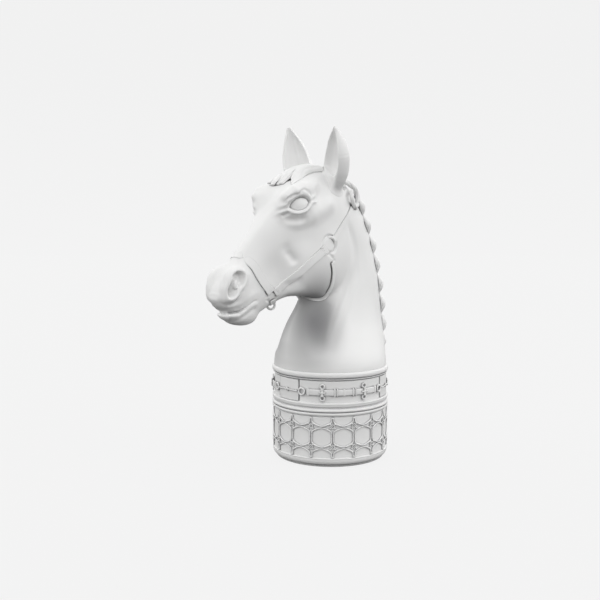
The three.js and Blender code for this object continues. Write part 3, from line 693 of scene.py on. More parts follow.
def hollow_inside(clay):
    """An open hollow up the neck, which is seen from below when the head is lifted."""
    slices, grids = clay.window((-0.9, 0, 1.4), (0.9, 0.9, 2.2))
    s, t, z = grids
    width = 0.80 - 0.26 * np.clip((z - 1.62) / 0.4, 0, 1.2) ** 1.5
    side = (np.sqrt(s ** 2 + t ** 2) - width) * 0.9
    clay.cut(np.maximum(side, z - 1.98), 0.05, slices)


def neck_and_head_clay():
    clay = Clay((-1.16, 0, NECK_FOOT - 4 * STEP), (2.58, 1.02, 5.0), STEP, mirrored=True)
    main_masses(clay)
    brow_and_eye_socket(clay)
    nose_and_cheek_planes(clay)
    muzzle(clay)
    nostril(clay)
    mouth(clay)
    eyelids(clay)
    neck_details(clay)
    forelock_parting(clay)
    return clay


def neck_and_head():
    """The finished piece, and its surface from before the halter's grooves for laying the halter on."""
    clay = neck_and_head_clay()
    skin = clay.whole()[0].copy()
    halter_grooves(clay)
    hollow_inside(clay)
    foot = NECK_FOOT - clay.axes[2].reshape(1, 1, -1)
    clay.value = np.maximum(clay.value, foot)
    thing = fired("neck_and_head", clay)
    return thing, (skin, clay.whole()[1], clay.step)


# ---------------------------------------------------------------- sweeps

def frames_along(path, normals):
    """Tangent, side and normal at each point of a path, with the normal square to the tangent."""
    tangent = unit(np.gradient(path, axis=0))
    side = unit(np.cross(normals, tangent))
    normal = np.cross(tangent, side)
    return tangent, side, normal


def skin_of_rings(rings, closed_loop=False):
    """Vertices and faces of a tube through rings of points, with capped ends unless it is a loop."""
    count, around, _ = rings.shape
    vertices = rings.reshape(-1, 3)
    i, j = np.meshgrid(np.arange(count if closed_loop else count - 1), np.arange(around), indexing="ij")
    after_i = (i + 1) % count
    after_j = (j + 1) % around
    quads = np.stack([i * around + j, i * around + after_j, after_i * around + after_j,
                      after_i * around + j], -1).reshape(-1, 4)
    if closed_loop:
        return vertices, [quads]
    ends = np.stack([rings[0].mean(0), rings[-1].mean(0)])
    first = np.arange(around)
    last = (count - 1) * around + first
    start = np.stack([np.full(around, len(vertices)), np.roll(first, -1), first], -1)
    finish = np.stack([np.full(around, len(vertices) + 1), last, np.roll(last, -1)], -1)
    return np.vstack([vertices, ends]), [quads, start, finish]


def sweep(path, normals, wide, thick, profile=None, around=20, closed_loop=False):
    """A closed bar along a path. profile(angle, share) scales its section."""
    _, side, normal = frames_along(path, normals)
    if closed_loop:
        ring_path = np.vstack([path[-1:], path, path[:1]])
        tangent = unit(ring_path[2:] - ring_path[:-2])
        side = unit(np.cross(normals, tangent))
        normal = np.cross(tangent, side)
    angle = np.linspace(0, 2 * np.pi, around, endpoint=False)[None, :]
    share = np.linspace(0, 1, len(path))[:, None]
    scale = profile(angle, share) if profile else np.ones((len(path), around))
    wide = np.broadcast_to(np.asarray(wide, float), (len(path),))[:, None]
    thick = np.broadcast_to(np.asarray(thick, float), (len(path),))[:, None]
    a = np.cos(angle) * wide * scale
    b = np.sin(angle) * thick * scale
    rings = path[:, None, :] + a[..., None] * side[:, None, :] + b[..., None] * normal[:, None, :]
    return skin_of_rings(rings, closed_loop)


def loop_bar(centre, axis, radius, thickness, around=14, count=40, squash=1.0):
    """A round ring with its axis given, or an oval one if squash is not one."""
    axis = unit(np.asarray(axis, float))
    first = np.cross(axis, (0, 0, 1))
    first = unit(first - axis * (first @ axis))
    second = np.cross(axis, first)
    turn = np.linspace(0, 2 * np.pi, count, endpoint=False)[:, None]
    path = centre + radius * (np.cos(turn) * first + squash * np.sin(turn) * second)
    normals = np.repeat(axis[None, :], count, 0)
    return sweep(path, normals, thickness, thickness, around=around, closed_loop=True)


def round_blob(centre, size, axes=None, rows=12, around=20):
    """A smooth pebble with half-sizes along three axes."""
    axes = np.eye(3) if axes is None else np.asarray(axes, float)
    height = np.linspace(-1, 1, rows + 2)[1:-1]
    height = np.sin(height * np.pi / 2)
    angle = np.linspace(0, 2 * np.pi, around, endpoint=False)
    wide = np.sqrt(1 - height ** 2)
    local = np.stack([wide[:, None] * np.cos(angle), wide[:, None] * np.sin(angle),
                      np.repeat(height[:, None], around, 1)], -1) * np.asarray(size, float)
    rings = np.asarray(centre, float) + local @ axes
    vertices, faces = skin_of_rings(rings)
    vertices[-2] = centre - axes[2] * size[2]
    vertices[-1] = centre + axes[2] * size[2]
    return vertices, faces


def build(name, parts, body, material):
    """A finished piece from (vertices in units of R, faces) parts, in place of its CAD node."""
    vertices, faces = joined(parts)
    thing = make_mesh(name, world(vertices), faces)
    settle(thing, body, material, name)


def settle(thing, body, material, node):
    """Gives a piece its material, its body and the CAD node that it replaces."""
    thing.data.materials.append(material)
    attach(thing, body)
    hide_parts(node)


# ---------------------------------------------------------------- the head's surface

class Skin:
    """The sculpted surface, for laying straps and rings on it."""

    def __init__(self, value, origin, step):
        self.value, self.origin, self.step = value, origin, step

    def at(self, points):
        return to_surface(self.value, self.origin, self.step, np.atleast_2d(points), rounds=8)

    def normal(self, points):
        return unit(slope_at(self.value, self.origin, self.step * 2, np.atleast_2d(points)))

    def height(self, points):
        return sample(self.value, self.origin, self.step, np.atleast_2d(points))

    def path(self, points, count):
        """A smooth path through points that lies on the surface."""
        path = self.at(curve_through(points, count))
        for _ in range(6):
            path[1:-1] = 0.5 * path[1:-1] + 0.25 * (path[2:] + path[:-2])
        path = curve_through(path[::max(1, count // 40)], count)
        return self.at(path)


def strap_on(skin, points, width, thickness, count=90, thin=None):
    """A flat strap that follows the skin, with a raised welt along both edges."""
    path = skin.path(points, count)
    normals = skin.normal(path)
    for _ in range(4):
        normals[1:-1] = unit(normals[1:-1] * 2 + normals[2:] + normals[:-2])
    _, side, normal = frames_along(path, normals)
    across = np.array([-1, -0.97, -0.86, -0.74, -0.66, -0.4, 0, 0.4, 0.66, 0.74, 0.86, 0.97, 1]) / 2
    rise = np.array([0.35, 0.80, 1.0, 0.96, 0.72, 0.70, 0.70, 0.70, 0.72, 0.96, 1.0, 0.80, 0.35])
    base = path[:, None, :] + across[None, :, None] * width * side[:, None, :]
    flat = base.reshape(-1, 3)
    flat = skin.at(flat)
    base = flat.reshape(base.shape)
    up = skin.normal(flat).reshape(base.shape)
    up = unit(up + normal[:, None, :])
    ends = np.minimum(np.arange(count), np.arange(count)[::-1]) / 2.0
    ends = np.clip(ends, 0.3, 1)[:, None, None]
    if thin is not None:
        ends = ends * thin(np.linspace(0, 1, count))[:, None, None]
    top = base + up * (rise[None, :, None] * thickness * ends)
    under = base[:, ::-1] - up[:, ::-1] * 0.02
    rings = np.concatenate([top, under], 1)
    return skin_of_rings(rings)


def cuff_on(skin, point, direction, length, width, thickness):
    """A short loop of strap that folds round a ring."""
    direction = unit(np.asarray(direction, float))
    point = np.asarray(point, float)
    ends = [point - direction * length / 2, point, point + direction * length / 2]
    return strap_on(skin, ends, width, thickness, count=14)


def ring_on(skin, point, radius, thickness, lift):
    """A ring that lies on the skin round a point, raised by a share of its thickness."""
    point = skin.at(point)[0]
    normal = skin.normal(point)[0]
    around = [point]
    for angle in np.linspace(0, 2 * np.pi, 8, endpoint=False):
        first = unit(np.cross(normal, (0.2, 0.1, 1)))
        second = np.cross(normal, first)
        around.append(skin.at(point + radius * (math.cos(angle) * first + math.sin(angle) * second))[0])
    centre = np.mean(around[1:], 0)
    return loop_bar(centre + normal * thickness * lift, normal, radius, thickness)


# ---------------------------------------------------------------- ears, eyes and hair

# Where an ear's middle runs, its half-width at even places along that line, and where its cup faces
NEAR_EAR = {
    "spine": [(0.16, 0.12, 4.44), (0.20, 0.24, 4.63), (0.25, 0.36, 4.84), (0.30, 0.45, 5.07),
              (0.355, 0.50, 5.33), (0.43, 0.55, 5.560)],
    "half": [0.10, 0.195, 0.242, 0.228, 0.160, 0.012],
    "facing": (1.0, -0.12, 0.12),
    "floor": 0.34,
}
FAR_EAR = {
    "spine": [(0.31, 0.31, 4.56), (0.365, 0.38, 4.82), (0.39, 0.435, 5.03), (0.41, 0.475, 5.22),
              (0.44, 0.515, 5.42), (0.48, 0.55, 5.62)],
    "half": [0.19, 0.245, 0.250, 0.212, 0.130, 0.010],
    "facing": (1.0, -0.75, 0.12),
    "floor": 0.20,
}


def ear_clay(skin, ear):
    """A cupped ear whose foot melts into a patch that lies just under the skin."""
    step = STEP * 0.62
    clay = Clay((-0.32, -0.02, 4.06), (0.82, 0.90, 5.70), step, mirrored=False)
    spine = curve_through(ear["spine"], 26)
    half = np.interp(np.linspace(0, 1, 26), np.linspace(0, 1, len(ear["half"])), ear["half"])
    half = np.convolve(np.pad(half, 2, mode="edge"), [0.1, 0.2, 0.4, 0.2, 0.1], "valid")
    half[-1], half[-2] = 0.008, 0.045
    _, grids = clay.window([axis[0] for axis in clay.axes], [axis[-1] for axis in clay.axes])
    _, share = to_line(grids, spine)
    place = share * (len(spine) - 1)
    index = np.arange(len(spine))
    near = [np.interp(place, index, spine[:, k]) for k in range(3)]
    width = np.interp(place, index, half)
    facing = unit(np.array(ear["facing"]))
    tangent = unit(np.array(ear["spine"][-1]) - np.array(ear["spine"][0]))
    facing = unit(facing - tangent * (facing @ tangent))
    wide = np.cross(facing, tangent)
    away = [grid - n for grid, n in zip(grids, near)]
    a = sum(d * w for d, w in zip(away, wide))
    b = sum(d * f for d, f in zip(away, facing))
    up = sum(d * g for d, g in zip(away, tangent))
    past_end = (up / 0.05) ** 2 * (share >= 0.999) + (up / 0.11) ** 2 * (share <= 0.001)
    outer = np.sqrt((a / width) ** 2 + (b / (width * 0.98)) ** 2 + past_end)
    outside = (outer - 1) * width * 0.95
    front = np.clip((share - ear["floor"] + 0.04) / 0.2, 0, 1)
    wall = 0.026
    inner_wide = np.maximum(width - wall, 0.004)
    shift = width * (0.75 - 0.15 * front)
    inner = np.sqrt((a / inner_wide) ** 2 + ((b - shift) / (inner_wide * 0.95)) ** 2)
    hollow = (inner - 1) * inner_wide * 0.9
    floor = ear["floor"] + 0.12 * (a / width) ** 2
    hollow = soft_max(hollow, (floor - share) * 0.9, 0.05)
    cup = soft_max(outside, -hollow, 0.014)
    cup = soft_max(cup, b - width * 0.42, 0.03)
    clay.value = cup.astype(np.float32)
    clay.crease([(0.30, 0.44, 4.95), (0.33, 0.47, 5.15), (0.38, 0.51, 5.38)], 0.025, -0.02)
    place = np.stack(np.broadcast_arrays(*grids), -1).reshape(-1, 3)
    under = skin.height(place).reshape(clay.value.shape) - 0.004
    patch = np.maximum(clay.value - 0.11, 0.06 - grids[1])
    sunk = under + 0.020 * np.clip((clay.value - 0.07) / 0.03, 0, 1)
    clay.value = np.maximum(soft_min(clay.value, sunk, 0.10), patch).astype(np.float32)
    return clay


def both_sides(name, vertices_faces, body, material):
    """The left piece and its mirror image on the right."""
    vertices, faces = vertices_faces
    for label, side in (("left", 1), ("right", -1)):
        points = vertices * np.array([1, side, 1])
        groups = faces if side > 0 else [np.asarray(g)[:, ::-1] for g in faces]
        build(f"{name}_{label}", [(points, groups)], body, material)


def ears(skin, material):
    for name, ear, side in (("ear_left", NEAR_EAR, 1), ("ear_right", FAR_EAR, -1)):
        clay = ear_clay(skin, ear)
        value, origin = clay.whole()
        vertices, quads = surface_net(value, origin, clay.step)
        vertices = to_surface(value, origin, clay.step, vertices) * np.array([1, side, 1])
        build(name, [(vertices, [quads[:, ::side]])], "head", material)


def eyes(material):
    axes = np.stack([EYE_ALONG, EYE_UP, EYE_OUT])
    ball = round_blob(EYE + EYE_OUT * 0.010 - EYE_UP * 0.022, (EYE_RADIUS,) * 3, axes, rows=40, around=64)
    both_sides("eye", ball, "head", material)


def strands(count, depth, twist=0.0, phase=0.0):
    """A section scale with grooves, as hair strands run along a lock."""
    def scale(angle, share):
        lobes = np.abs(np.cos(0.5 * count * (angle + phase) + twist * share * 2 * np.pi))
        fine = np.abs(np.cos(1.5 * count * (angle + 1.3 * phase) + twist * share * 3 * np.pi))
        return 1 - depth * (1 - lobes) ** 2 - 0.35 * depth * (1 - fine) ** 2
    return scale


def lock(points, wide, thick, up, count=70, grooves=7, depth=0.16, twist=0.0, phase=0.0, around=72):
    """A pointed lock of hair. wide and thick give the section at even places along it."""
    path = curve_through(points, count)
    share = np.linspace(0, 1, count)
    w = np.interp(share, np.linspace(0, 1, len(wide)), wide)
    h = np.interp(share, np.linspace(0, 1, len(thick)), thick)
    kernel = np.array([1, 2, 3, 2, 1]) / 9
    w = np.convolve(np.pad(w, 2, mode="edge"), kernel, "valid")
    h = np.convolve(np.pad(h, 2, mode="edge"), kernel, "valid")
    normals = np.repeat(np.asarray(up, float)[None, :], count, 0)
    return sweep(path, normals, w, h, strands(grooves, depth, twist, phase), around=around)


def forelock(skin, material):
    """A fat bright lock on the near side, and finer strands that fall over the far brow."""
    line = skin.at(np.array([(0.26, 0.15, 4.84), (0.44, 0.14, 4.86), (0.66, 0.14, 4.82),
                             (0.86, 0.16, 4.74), (1.05, 0.20, 4.62)]))
    line = line + skin.normal(line) * np.array([0.00, 0.045, 0.060, 0.035, -0.010])[:, None]
    near = [lock(line, (0.07, 0.125, 0.140, 0.105, 0.008), (0.06, 0.100, 0.110, 0.075, 0.006),
                 (0.38, 0.50, 0.78), twist=0.10, depth=0.08)]
    far = []
    for i, (t, reach) in enumerate([(-0.12, 0.98), (-0.19, 1.04), (-0.27, 1.08), (-0.35, 1.04),
                                    (-0.42, 0.94)]):
        rise = 4.90 - 0.5 * max(0.0, -t - 0.16) ** 1.2
        path = np.array([(0.20, t * 0.7 - 0.02, rise - 0.12), (0.36, t * 0.9, rise), (0.56, t, rise - 0.01),
                         (0.50 * (reach + 0.56), t * 1.06, rise - 0.10), (reach, t * 1.1, rise - 0.30)])
        path[-1] = skin.at(path[-1:])[0] - skin.normal(path[-1:])[0] * 0.035
        far.append(lock(path, (0.03, 0.09, 0.115, 0.115, 0.06), (0.03, 0.060, 0.068, 0.055, 0.03),
                        (0.3, t, 1), twist=0.06 - 0.04 * i, phase=0.5 * i, grooves=5, depth=0.12))
    build("forelock_left", near, "head", material)
    build("forelock_right", far, "head", material)


CREST = [(-0.40, 4.46), (-0.52, 4.28), (-0.66, 3.98), (-0.79, 3.66), (-0.90, 3.32), (-0.98, 2.98),
         (-1.04, 2.64), (-1.08, 2.30), (-1.09, 1.98), (-1.06, 1.70)]
MANE_LOCKS = 8


def rope(turns):
    lobes = 3
    depth = 0.24

    def scale(angle, share):
        wave = np.abs(np.cos(0.5 * lobes * angle - np.pi * turns * share))
        fine = np.abs(np.cos(3.5 * lobes * angle - 5 * np.pi * turns * share))
        return 1 - depth * (1 - wave) ** 1.5 - 0.05 * fine
    return scale


def plait(crest, start, finish, number):
    """One plait that swings out from the crest, lies down over the near side and tapers."""
    count = 70
    share = np.linspace(0, 1, count)
    spots = np.linspace(start, finish, count) * (len(crest) - 1)
    line = np.stack([np.interp(spots, np.arange(len(crest)), crest[:, 0]),
                     0.05 + 0.13 * np.sin(np.pi * np.clip(share * 1.1, 0, 1)) ** 0.8 + 0.06 * share,
                     np.interp(spots, np.arange(len(crest)), crest[:, 1])], -1)
    down = unit(crest[min(int(spots[-1]), len(crest) - 1)] - crest[int(spots[0])])
    out = np.array([down[1], 0.0, -down[0]])
    out = out if out[0] < 0 else -out
    swing = np.sin(np.pi * share) ** 0.7
    line = line + (0.060 * swing - 0.055)[:, None] * out
    wide = np.interp(share, [0, 0.15, 0.45, 0.8, 1], [0.040, 0.068, 0.078, 0.054, 0.014])
    normals = np.repeat((out * 0.5 + np.array([0, 0.85, 0]))[None, :], count, 0)
    return sweep(line, normals, wide, wide * 0.82, rope(3.0 + 0.2 * (number % 2)), around=36)


def poll_loop():
    """The plait behind the ear is folded into an open loop, with its end tucked through."""
    path = curve_through([(-0.10, 0.06, 4.72), (-0.17, 0.20, 4.67), (-0.34, 0.22, 4.58), (-0.43, 0.20, 4.44),
                          (-0.40, 0.22, 4.29), (-0.27, 0.31, 4.26), (-0.17, 0.36, 4.36), (-0.16, 0.34, 4.47),
                          (-0.24, 0.27, 4.52), (-0.32, 0.21, 4.42)], 110)
    share = np.linspace(0, 1, 110)
    wide = np.interp(share, [0, 0.1, 0.45, 0.8, 1], [0.04, 0.050, 0.050, 0.040, 0.018])
    return sweep(path, np.repeat([[-0.3, 1, 0.2]], 110, 0), wide, wide * 0.9, rope(9), around=30)


def mane(material):
    crest = curve_through(CREST, 161)
    step = 1 / MANE_LOCKS
    for i in range(MANE_LOCKS):
        finish = min((i + 1.28) * step, 1.0)
        parts = [plait(crest, i * step, finish, i)]
        if i == 0:
            parts.append(poll_loop())
        low, high = int(160 * i * step), int(160 * (i + 1) * step) + 4
        ridge = crest[low:min(high, 161)]
        points = np.stack([ridge[:, 0], np.zeros(len(ridge)), ridge[:, 1]], -1)
        parts.append(lock(points, (0.08, 0.10, 0.10, 0.08), (0.035, 0.04, 0.04, 0.035), (-0.8, 0.1, 0.3),
                          count=30, grooves=9, depth=0.14, around=60))
        build(f"mane_lock_{i + 1}", parts, "head", material)


# ---------------------------------------------------------------- halter

def mirrored_line(points):
    """The same line on the right side of the head."""
    return [(s, -t, z) for s, t, z in points]


def thin_over(low, width):
    """Scale of a strap's thickness: thinner round the middle of its length."""
    return lambda share: 1 - (1 - low) * np.exp(-((share - 0.5) / width) ** 2)


def buckle(skin, point, direction, length, width):
    """A square frame with its tongue, lying on a strap."""
    point = skin.at(np.asarray(point, float))[0]
    normal = skin.normal(point)[0]
    run = unit(np.asarray(direction, float))
    run = unit(run - normal * (run @ normal))
    across = np.cross(normal, run)
    lifted = point + normal * 0.055
    turn = np.linspace(0, 2 * np.pi, 36, endpoint=False)
    ahead = np.sign(np.cos(turn)) * np.abs(np.cos(turn)) ** 0.5
    aside = np.sign(np.sin(turn)) * np.abs(np.sin(turn)) ** 0.5
    path = lifted + ahead[:, None] * run * length / 2 + aside[:, None] * across * width / 2
    frame_bar = sweep(path, np.repeat(normal[None, :], 36, 0), 0.014, 0.014, around=10, closed_loop=True)
    tongue = sweep(curve_through([lifted - run * length / 2, lifted + normal * 0.02,
                                  lifted + run * length * 0.62], 12),
                   np.repeat(normal[None, :], 12, 0), 0.010, 0.009, around=10)
    return [frame_bar, tongue]


def noseband(skin, material):
    side = [(1.545, 0.28, 2.93), (1.655, 0.28, 3.05), (1.755, 0.27, 3.19), (1.835, 0.24, 3.33),
            (1.94, 0.15, 3.45)]
    line = side + [(1.99, 0.0, 3.51)] + mirrored_line(side)[::-1]
    parts = [strap_on(skin, line, STRAP_WIDE, STRAP_THICK, count=160, thin=thin_over(0.22, 0.22))]
    for sign in (1, -1):
        run = (0.62, 0.0, 0.75)
        parts.append(cuff_on(skin, (1.555, 0.28 * sign, 2.945), run, 0.09, STRAP_WIDE * 1.12,
                             STRAP_THICK * 1.5))
        parts += buckle(skin, (1.64, 0.28 * sign, 3.03), run, 0.085, 0.15)
    build("noseband", parts, "head", material)


def chin_strap(skin, material):
    side = [(1.455, 0.25, 2.77), (1.42, 0.24, 2.70), (1.365, 0.18, 2.65), (1.32, 0.08, 2.63)]
    line = side + [(1.30, 0.0, 2.62)] + mirrored_line(side)[::-1]
    parts = [strap_on(skin, line, STRAP_WIDE * 0.80, STRAP_THICK, count=90)]
    for sign in (1, -1):
        link = skin.at(np.array([1.425, 0.24 * sign, 2.715]))[0]
        normal = skin.normal(link)[0]
        parts.append(loop_bar(link + normal * 0.045, normal, 0.042, 0.014, around=10, count=28, squash=1.3))
        low = skin.at(np.array([1.355, 0.15 * sign, 2.64]))[0]
        parts.append(loop_bar(low + skin.normal(low)[0] * 0.05, (0.9, 0.3 * sign, 0.1), 0.040, 0.013,
                              around=10, count=28))
    build("chin_strap", parts, "head", material)


def cheek_strap(skin, material):
    line = [(1.415, 0.28, 2.925), (1.34, 0.30, 2.995), (1.10, 0.41, 3.19), (0.87, 0.48, 3.37),
            (0.585, 0.50, 3.56)]
    for label, sign in (("left", 1), ("right", -1)):
        points = line if sign > 0 else mirrored_line(line)
        parts = [strap_on(skin, points, STRAP_WIDE, STRAP_THICK, count=110)]
        run = np.array(points[-1]) - np.array(points[-2])
        fall = np.array(points[0]) - np.array(points[1])
        parts.append(cuff_on(skin, points[0], fall, 0.10, STRAP_WIDE * 1.14, STRAP_THICK * 1.5))
        parts.append(cuff_on(skin, points[-1], run, 0.10, STRAP_WIDE * 1.14, STRAP_THICK * 1.5))
        build(f"cheek_strap_{label}", parts, "head", material)


def crown_strap(skin, material):
    side = [(0.385, 0.49, 3.725), (0.31, 0.48, 3.79), (0.07, 0.43, 4.02), (-0.20, 0.31, 4.24),
            (-0.38, 0.15, 4.42)]
    line = side + [(-0.44, 0.0, 4.48)] + mirrored_line(side)[::-1]
    parts = [strap_on(skin, line, STRAP_WIDE * 0.62, STRAP_THICK * 1.1, count=190)]
    for sign in (1, -1):
        parts.append(cuff_on(skin, (0.375, 0.49 * sign, 3.735), (-0.6, 0, 0.55), 0.08, STRAP_WIDE * 0.8,
                             STRAP_THICK * 1.7))
        parts += buckle(skin, (0.22, 0.46 * sign, 3.88), (-0.7, 0, 0.7), 0.07, 0.10)
    build("crown_strap", parts, "head", material)


def throat_strap(skin, material):
    side = [(0.425, 0.50, 3.35), (0.385, 0.49, 3.24), (0.368, 0.48, 3.14), (0.365, 0.45, 3.02),
            (0.38, 0.42, 2.90), (0.43, 0.33, 2.77), (0.50, 0.17, 2.71)]
    line = side + [(0.53, 0.0, 2.70)] + mirrored_line(side)[::-1]
    build("throat_strap", [strap_on(skin, line, 0.060, STRAP_THICK * 1.5, count=170)], "head", material)


def halter_rings(skin, material):
    for label, sign in (("left", 1), ("right", -1)):
        flip = np.array([1, sign, 1])
        ring = ring_on(skin, np.array(CHEEK_RING) * flip, 0.106, 0.027, lift=1.7)
        build(f"cheek_ring_{label}", [ring], "head", material)
        ring = ring_on(skin, np.array(NOSE_RING) * flip, 0.072, 0.024, lift=1.8)
        build(f"nose_ring_{label}", [ring], "head", material)
        build(f"throat_snap_{label}", snap_hook(skin, flip), "head", material)
    chin = skin.at(np.array([1.27, 0.0, 2.63]))[0]
    ring = loop_bar(chin + np.array([0, 0, -0.055]), (0.45, 1, 0), 0.062, 0.020)
    build("chin_ring", [ring], "head", material)


def snap_hook(skin, flip):
    """A trigger snap: swivel eye, body and a curved hook with its gate."""
    top = skin.at(np.array(SNAP) * flip)[0]
    normal = skin.normal(top)[0]
    down = unit(np.array([-0.35, 0, -1.0]) - normal * (normal @ np.array([-0.35, 0, -1.0])))
    across = np.cross(normal, down)
    rise = top + normal * 0.06
    body = round_blob(rise, (0.042, 0.036, 0.058), np.stack([across, normal, down]))
    eye = loop_bar(rise - down * 0.065, normal, 0.034, 0.013, around=10, count=28)
    line = curve_through([rise + down * 0.03, rise + down * 0.085 + across * 0.045,
                          rise + down * 0.135 + across * 0.01,
                          rise + down * 0.115 - across * 0.045, rise + down * 0.05 - across * 0.04], 30)
    hook = sweep(line, np.repeat(normal[None, :], 30, 0), np.linspace(0.018, 0.011, 30),
                 np.linspace(0.018, 0.011, 30), around=12)
    gate = sweep(curve_through([rise - across * 0.02, rise + down * 0.05 - across * 0.085], 8),
                 np.repeat(normal[None, :], 8, 0), 0.009, 0.009, around=10)
    return [body, eye, hook, gate]


# ---------------------------------------------------------------- drum and collar

MM = units(0.001)
TURN_STEPS = 288


def rounded(profile, radius=0.5, steps=4):
    """The same closed outline with every corner rounded off."""
    points = np.array(profile, float)
    out = []
    for before, here, after in zip(np.roll(points, 1, 0), points, np.roll(points, -1, 0)):
        if here[0] < 1e-6:
            out.append(here)
            continue
        back, ahead = before - here, after - here
        reach = min(radius, 0.45 * np.linalg.norm(back), 0.45 * np.linalg.norm(ahead))
        first, last = here + unit(back) * reach, here + unit(ahead) * reach
        for k in np.linspace(0, 1, steps):
            out.append((1 - k) ** 2 * first + 2 * k * (1 - k) * here + k ** 2 * last)
    return np.array(out)


def lathe(profile, angles=None, shift=None):
    """A turned solid from a closed outline of (radius, height) in millimetres.

    shift(angle, radius, height) moves points in or out, for grooves that run down the wall.
    """
    profile = np.asarray(profile, float)
    angles = np.linspace(0, 2 * np.pi, TURN_STEPS, endpoint=False) if angles is None else angles
    angle = angles[:, None]
    radius = np.repeat(profile[None, :, 0], len(angles), 0)
    height = np.repeat(profile[None, :, 1], len(angles), 0)
    if shift is not None:
        radius = radius + shift(angle, radius, height)
    rings = np.stack([radius * np.cos(angle), radius * np.sin(angle), height], -1) * MM
    return skin_of_rings(rings, closed_loop=True)


# How far a piece stands off the one that it lies on, in millimetres
GAP = 0.35

# Heights and radii of the two tiers' walls, in millimetres
DRUM = {
    "foot": 2.85, "field": 77.4, "top": 73.0, "bore": 71.0, "floor": 9.0, "rebate": 76.5, "rebate_depth": 1.6,
}
COLLAR = {"foot": 73.9, "top": 126.0, "field": 76.6, "field_low": 86.0, "field_high": 115.0, "spigot": 70.5}


def drum_shell(material):
    foot, field, top = DRUM["foot"], DRUM["field"], DRUM["top"]
    seat = top - DRUM["rebate_depth"]
    profile = [
        (0.02, foot), (71.0, foot), (72.0, foot + 1.0), (73.0, foot), (75.6, foot + 0.5),
        (77.6, foot + 2.2), (78.7, foot + 4.6), (78.9, 9.6), (78.7, 10.6), (79.2, 11.3), (79.0, 12.2),
        (78.2, 12.7), (field, 12.9), (field, 66.4), (field - 0.3, 67.0), (field - 0.3, 68.3),
        (field + 0.8, 68.7), (79.4, 69.4), (79.9, 70.7), (79.8, 72.0), (79.0, top), (DRUM["rebate"], top),
        (DRUM["rebate"], seat), (DRUM["bore"], seat), (DRUM["bore"], DRUM["floor"] + 2),
        (DRUM["bore"] - 2, DRUM["floor"]), (0.02, DRUM["floor"]),
    ]
    build("drum_shell", [lathe(rounded(profile, 0.6))], "drum", material)


def base_pad(material):
    profile = [(0.02, 0.3), (8, 0.3), (8.6, 0.0), (20, 0.0), (20.6, 0.35), (23, 0.35), (23.6, 0.0),
               (38, 0.0), (38.6, 0.35), (41, 0.35), (41.6, 0.0), (56, 0.0), (56.6, 0.35), (59, 0.35),
               (59.6, 0.0), (73.2, 0.0), (74.0, 0.7), (74.0, 2.1), (73.5, 2.5), (0.02, 2.5)]
    build("base_pad", [lathe(rounded(profile, 0.3))], "drum", material)


def ballast_disc(material):
    low, high = DRUM["floor"] + GAP, DRUM["floor"] + 15 + GAP
    edge = DRUM["bore"] - 1.0
    profile = [(0.02, low), (edge - 2.5, low), (edge - 0.8, low + 1.5), (edge - 0.8, low + 2),
               (edge, low + 3), (edge - 0.4, high - 1), (edge - 1.6, high), (edge - 9, high),
               (edge - 11, high - 3.2), (26, high - 3.2), (24, high - 0.8), (13, high - 0.8),
               (11.5, high - 2), (0.02, high - 2)]
    ribs = []
    for i in range(6):
        angle = 2 * np.pi * i / 6
        run = np.linspace(22, edge - 9, 12)
        path = np.stack([run * np.cos(angle), run * np.sin(angle), np.full(12, high - 3.4)], -1) * MM
        ribs.append(sweep(path, np.repeat([[0, 0, 1.0]], 12, 0), 2.2 * MM, 2.6 * MM, around=14))
    build("ballast_disc", [lathe(rounded(profile, 0.7))] + ribs, "drum", material)


def seal_ring(material):
    low, high = DRUM["top"] - DRUM["rebate_depth"] + GAP, COLLAR["foot"] - GAP
    inner, outer = DRUM["bore"] + GAP, DRUM["rebate"] - GAP
    middle = (inner + outer) / 2
    profile = [(inner, low), (outer, low), (outer, high - 0.6), (outer - 0.7, high), (middle + 0.9, high),
               (middle + 0.5, high - 0.7), (middle - 0.5, high - 0.7), (middle - 0.9, high),
               (inner + 0.7, high), (inner, high - 0.6)]
    build("seal_ring", [lathe(rounded(profile, 0.25, 3))], "seal", material)


# The collar's tabs and strap panels: how wide a tab is, its groove beside the edge, and their middles
TAB_ANGLE = 28.0
TAB_GROOVE = TAB_ANGLE / 2 + 0.45
TABS = (1.0, 121.0, 241.0)
PANELS = (61.0, 181.0, 301.0)


def panel_grooves(angle, radius, height):
    """Narrow upright grooves at both edges of every tab."""
    degrees = np.degrees(angle)
    deep = np.zeros_like(radius)
    inside = (height > COLLAR["field_low"] + 0.3) & (height < COLLAR["field_high"] - 0.3)
    for tab in TABS:
        for side in (-1, 1):
            edge = tab + side * TAB_GROOVE
            away = np.abs((degrees - edge + 180) % 360 - 180)
            deep = np.maximum(deep, np.clip(1.6 - 2.4 * away, 0, 1) * np.ones_like(radius))
    return -2.2 * deep * inside * (radius > 74)


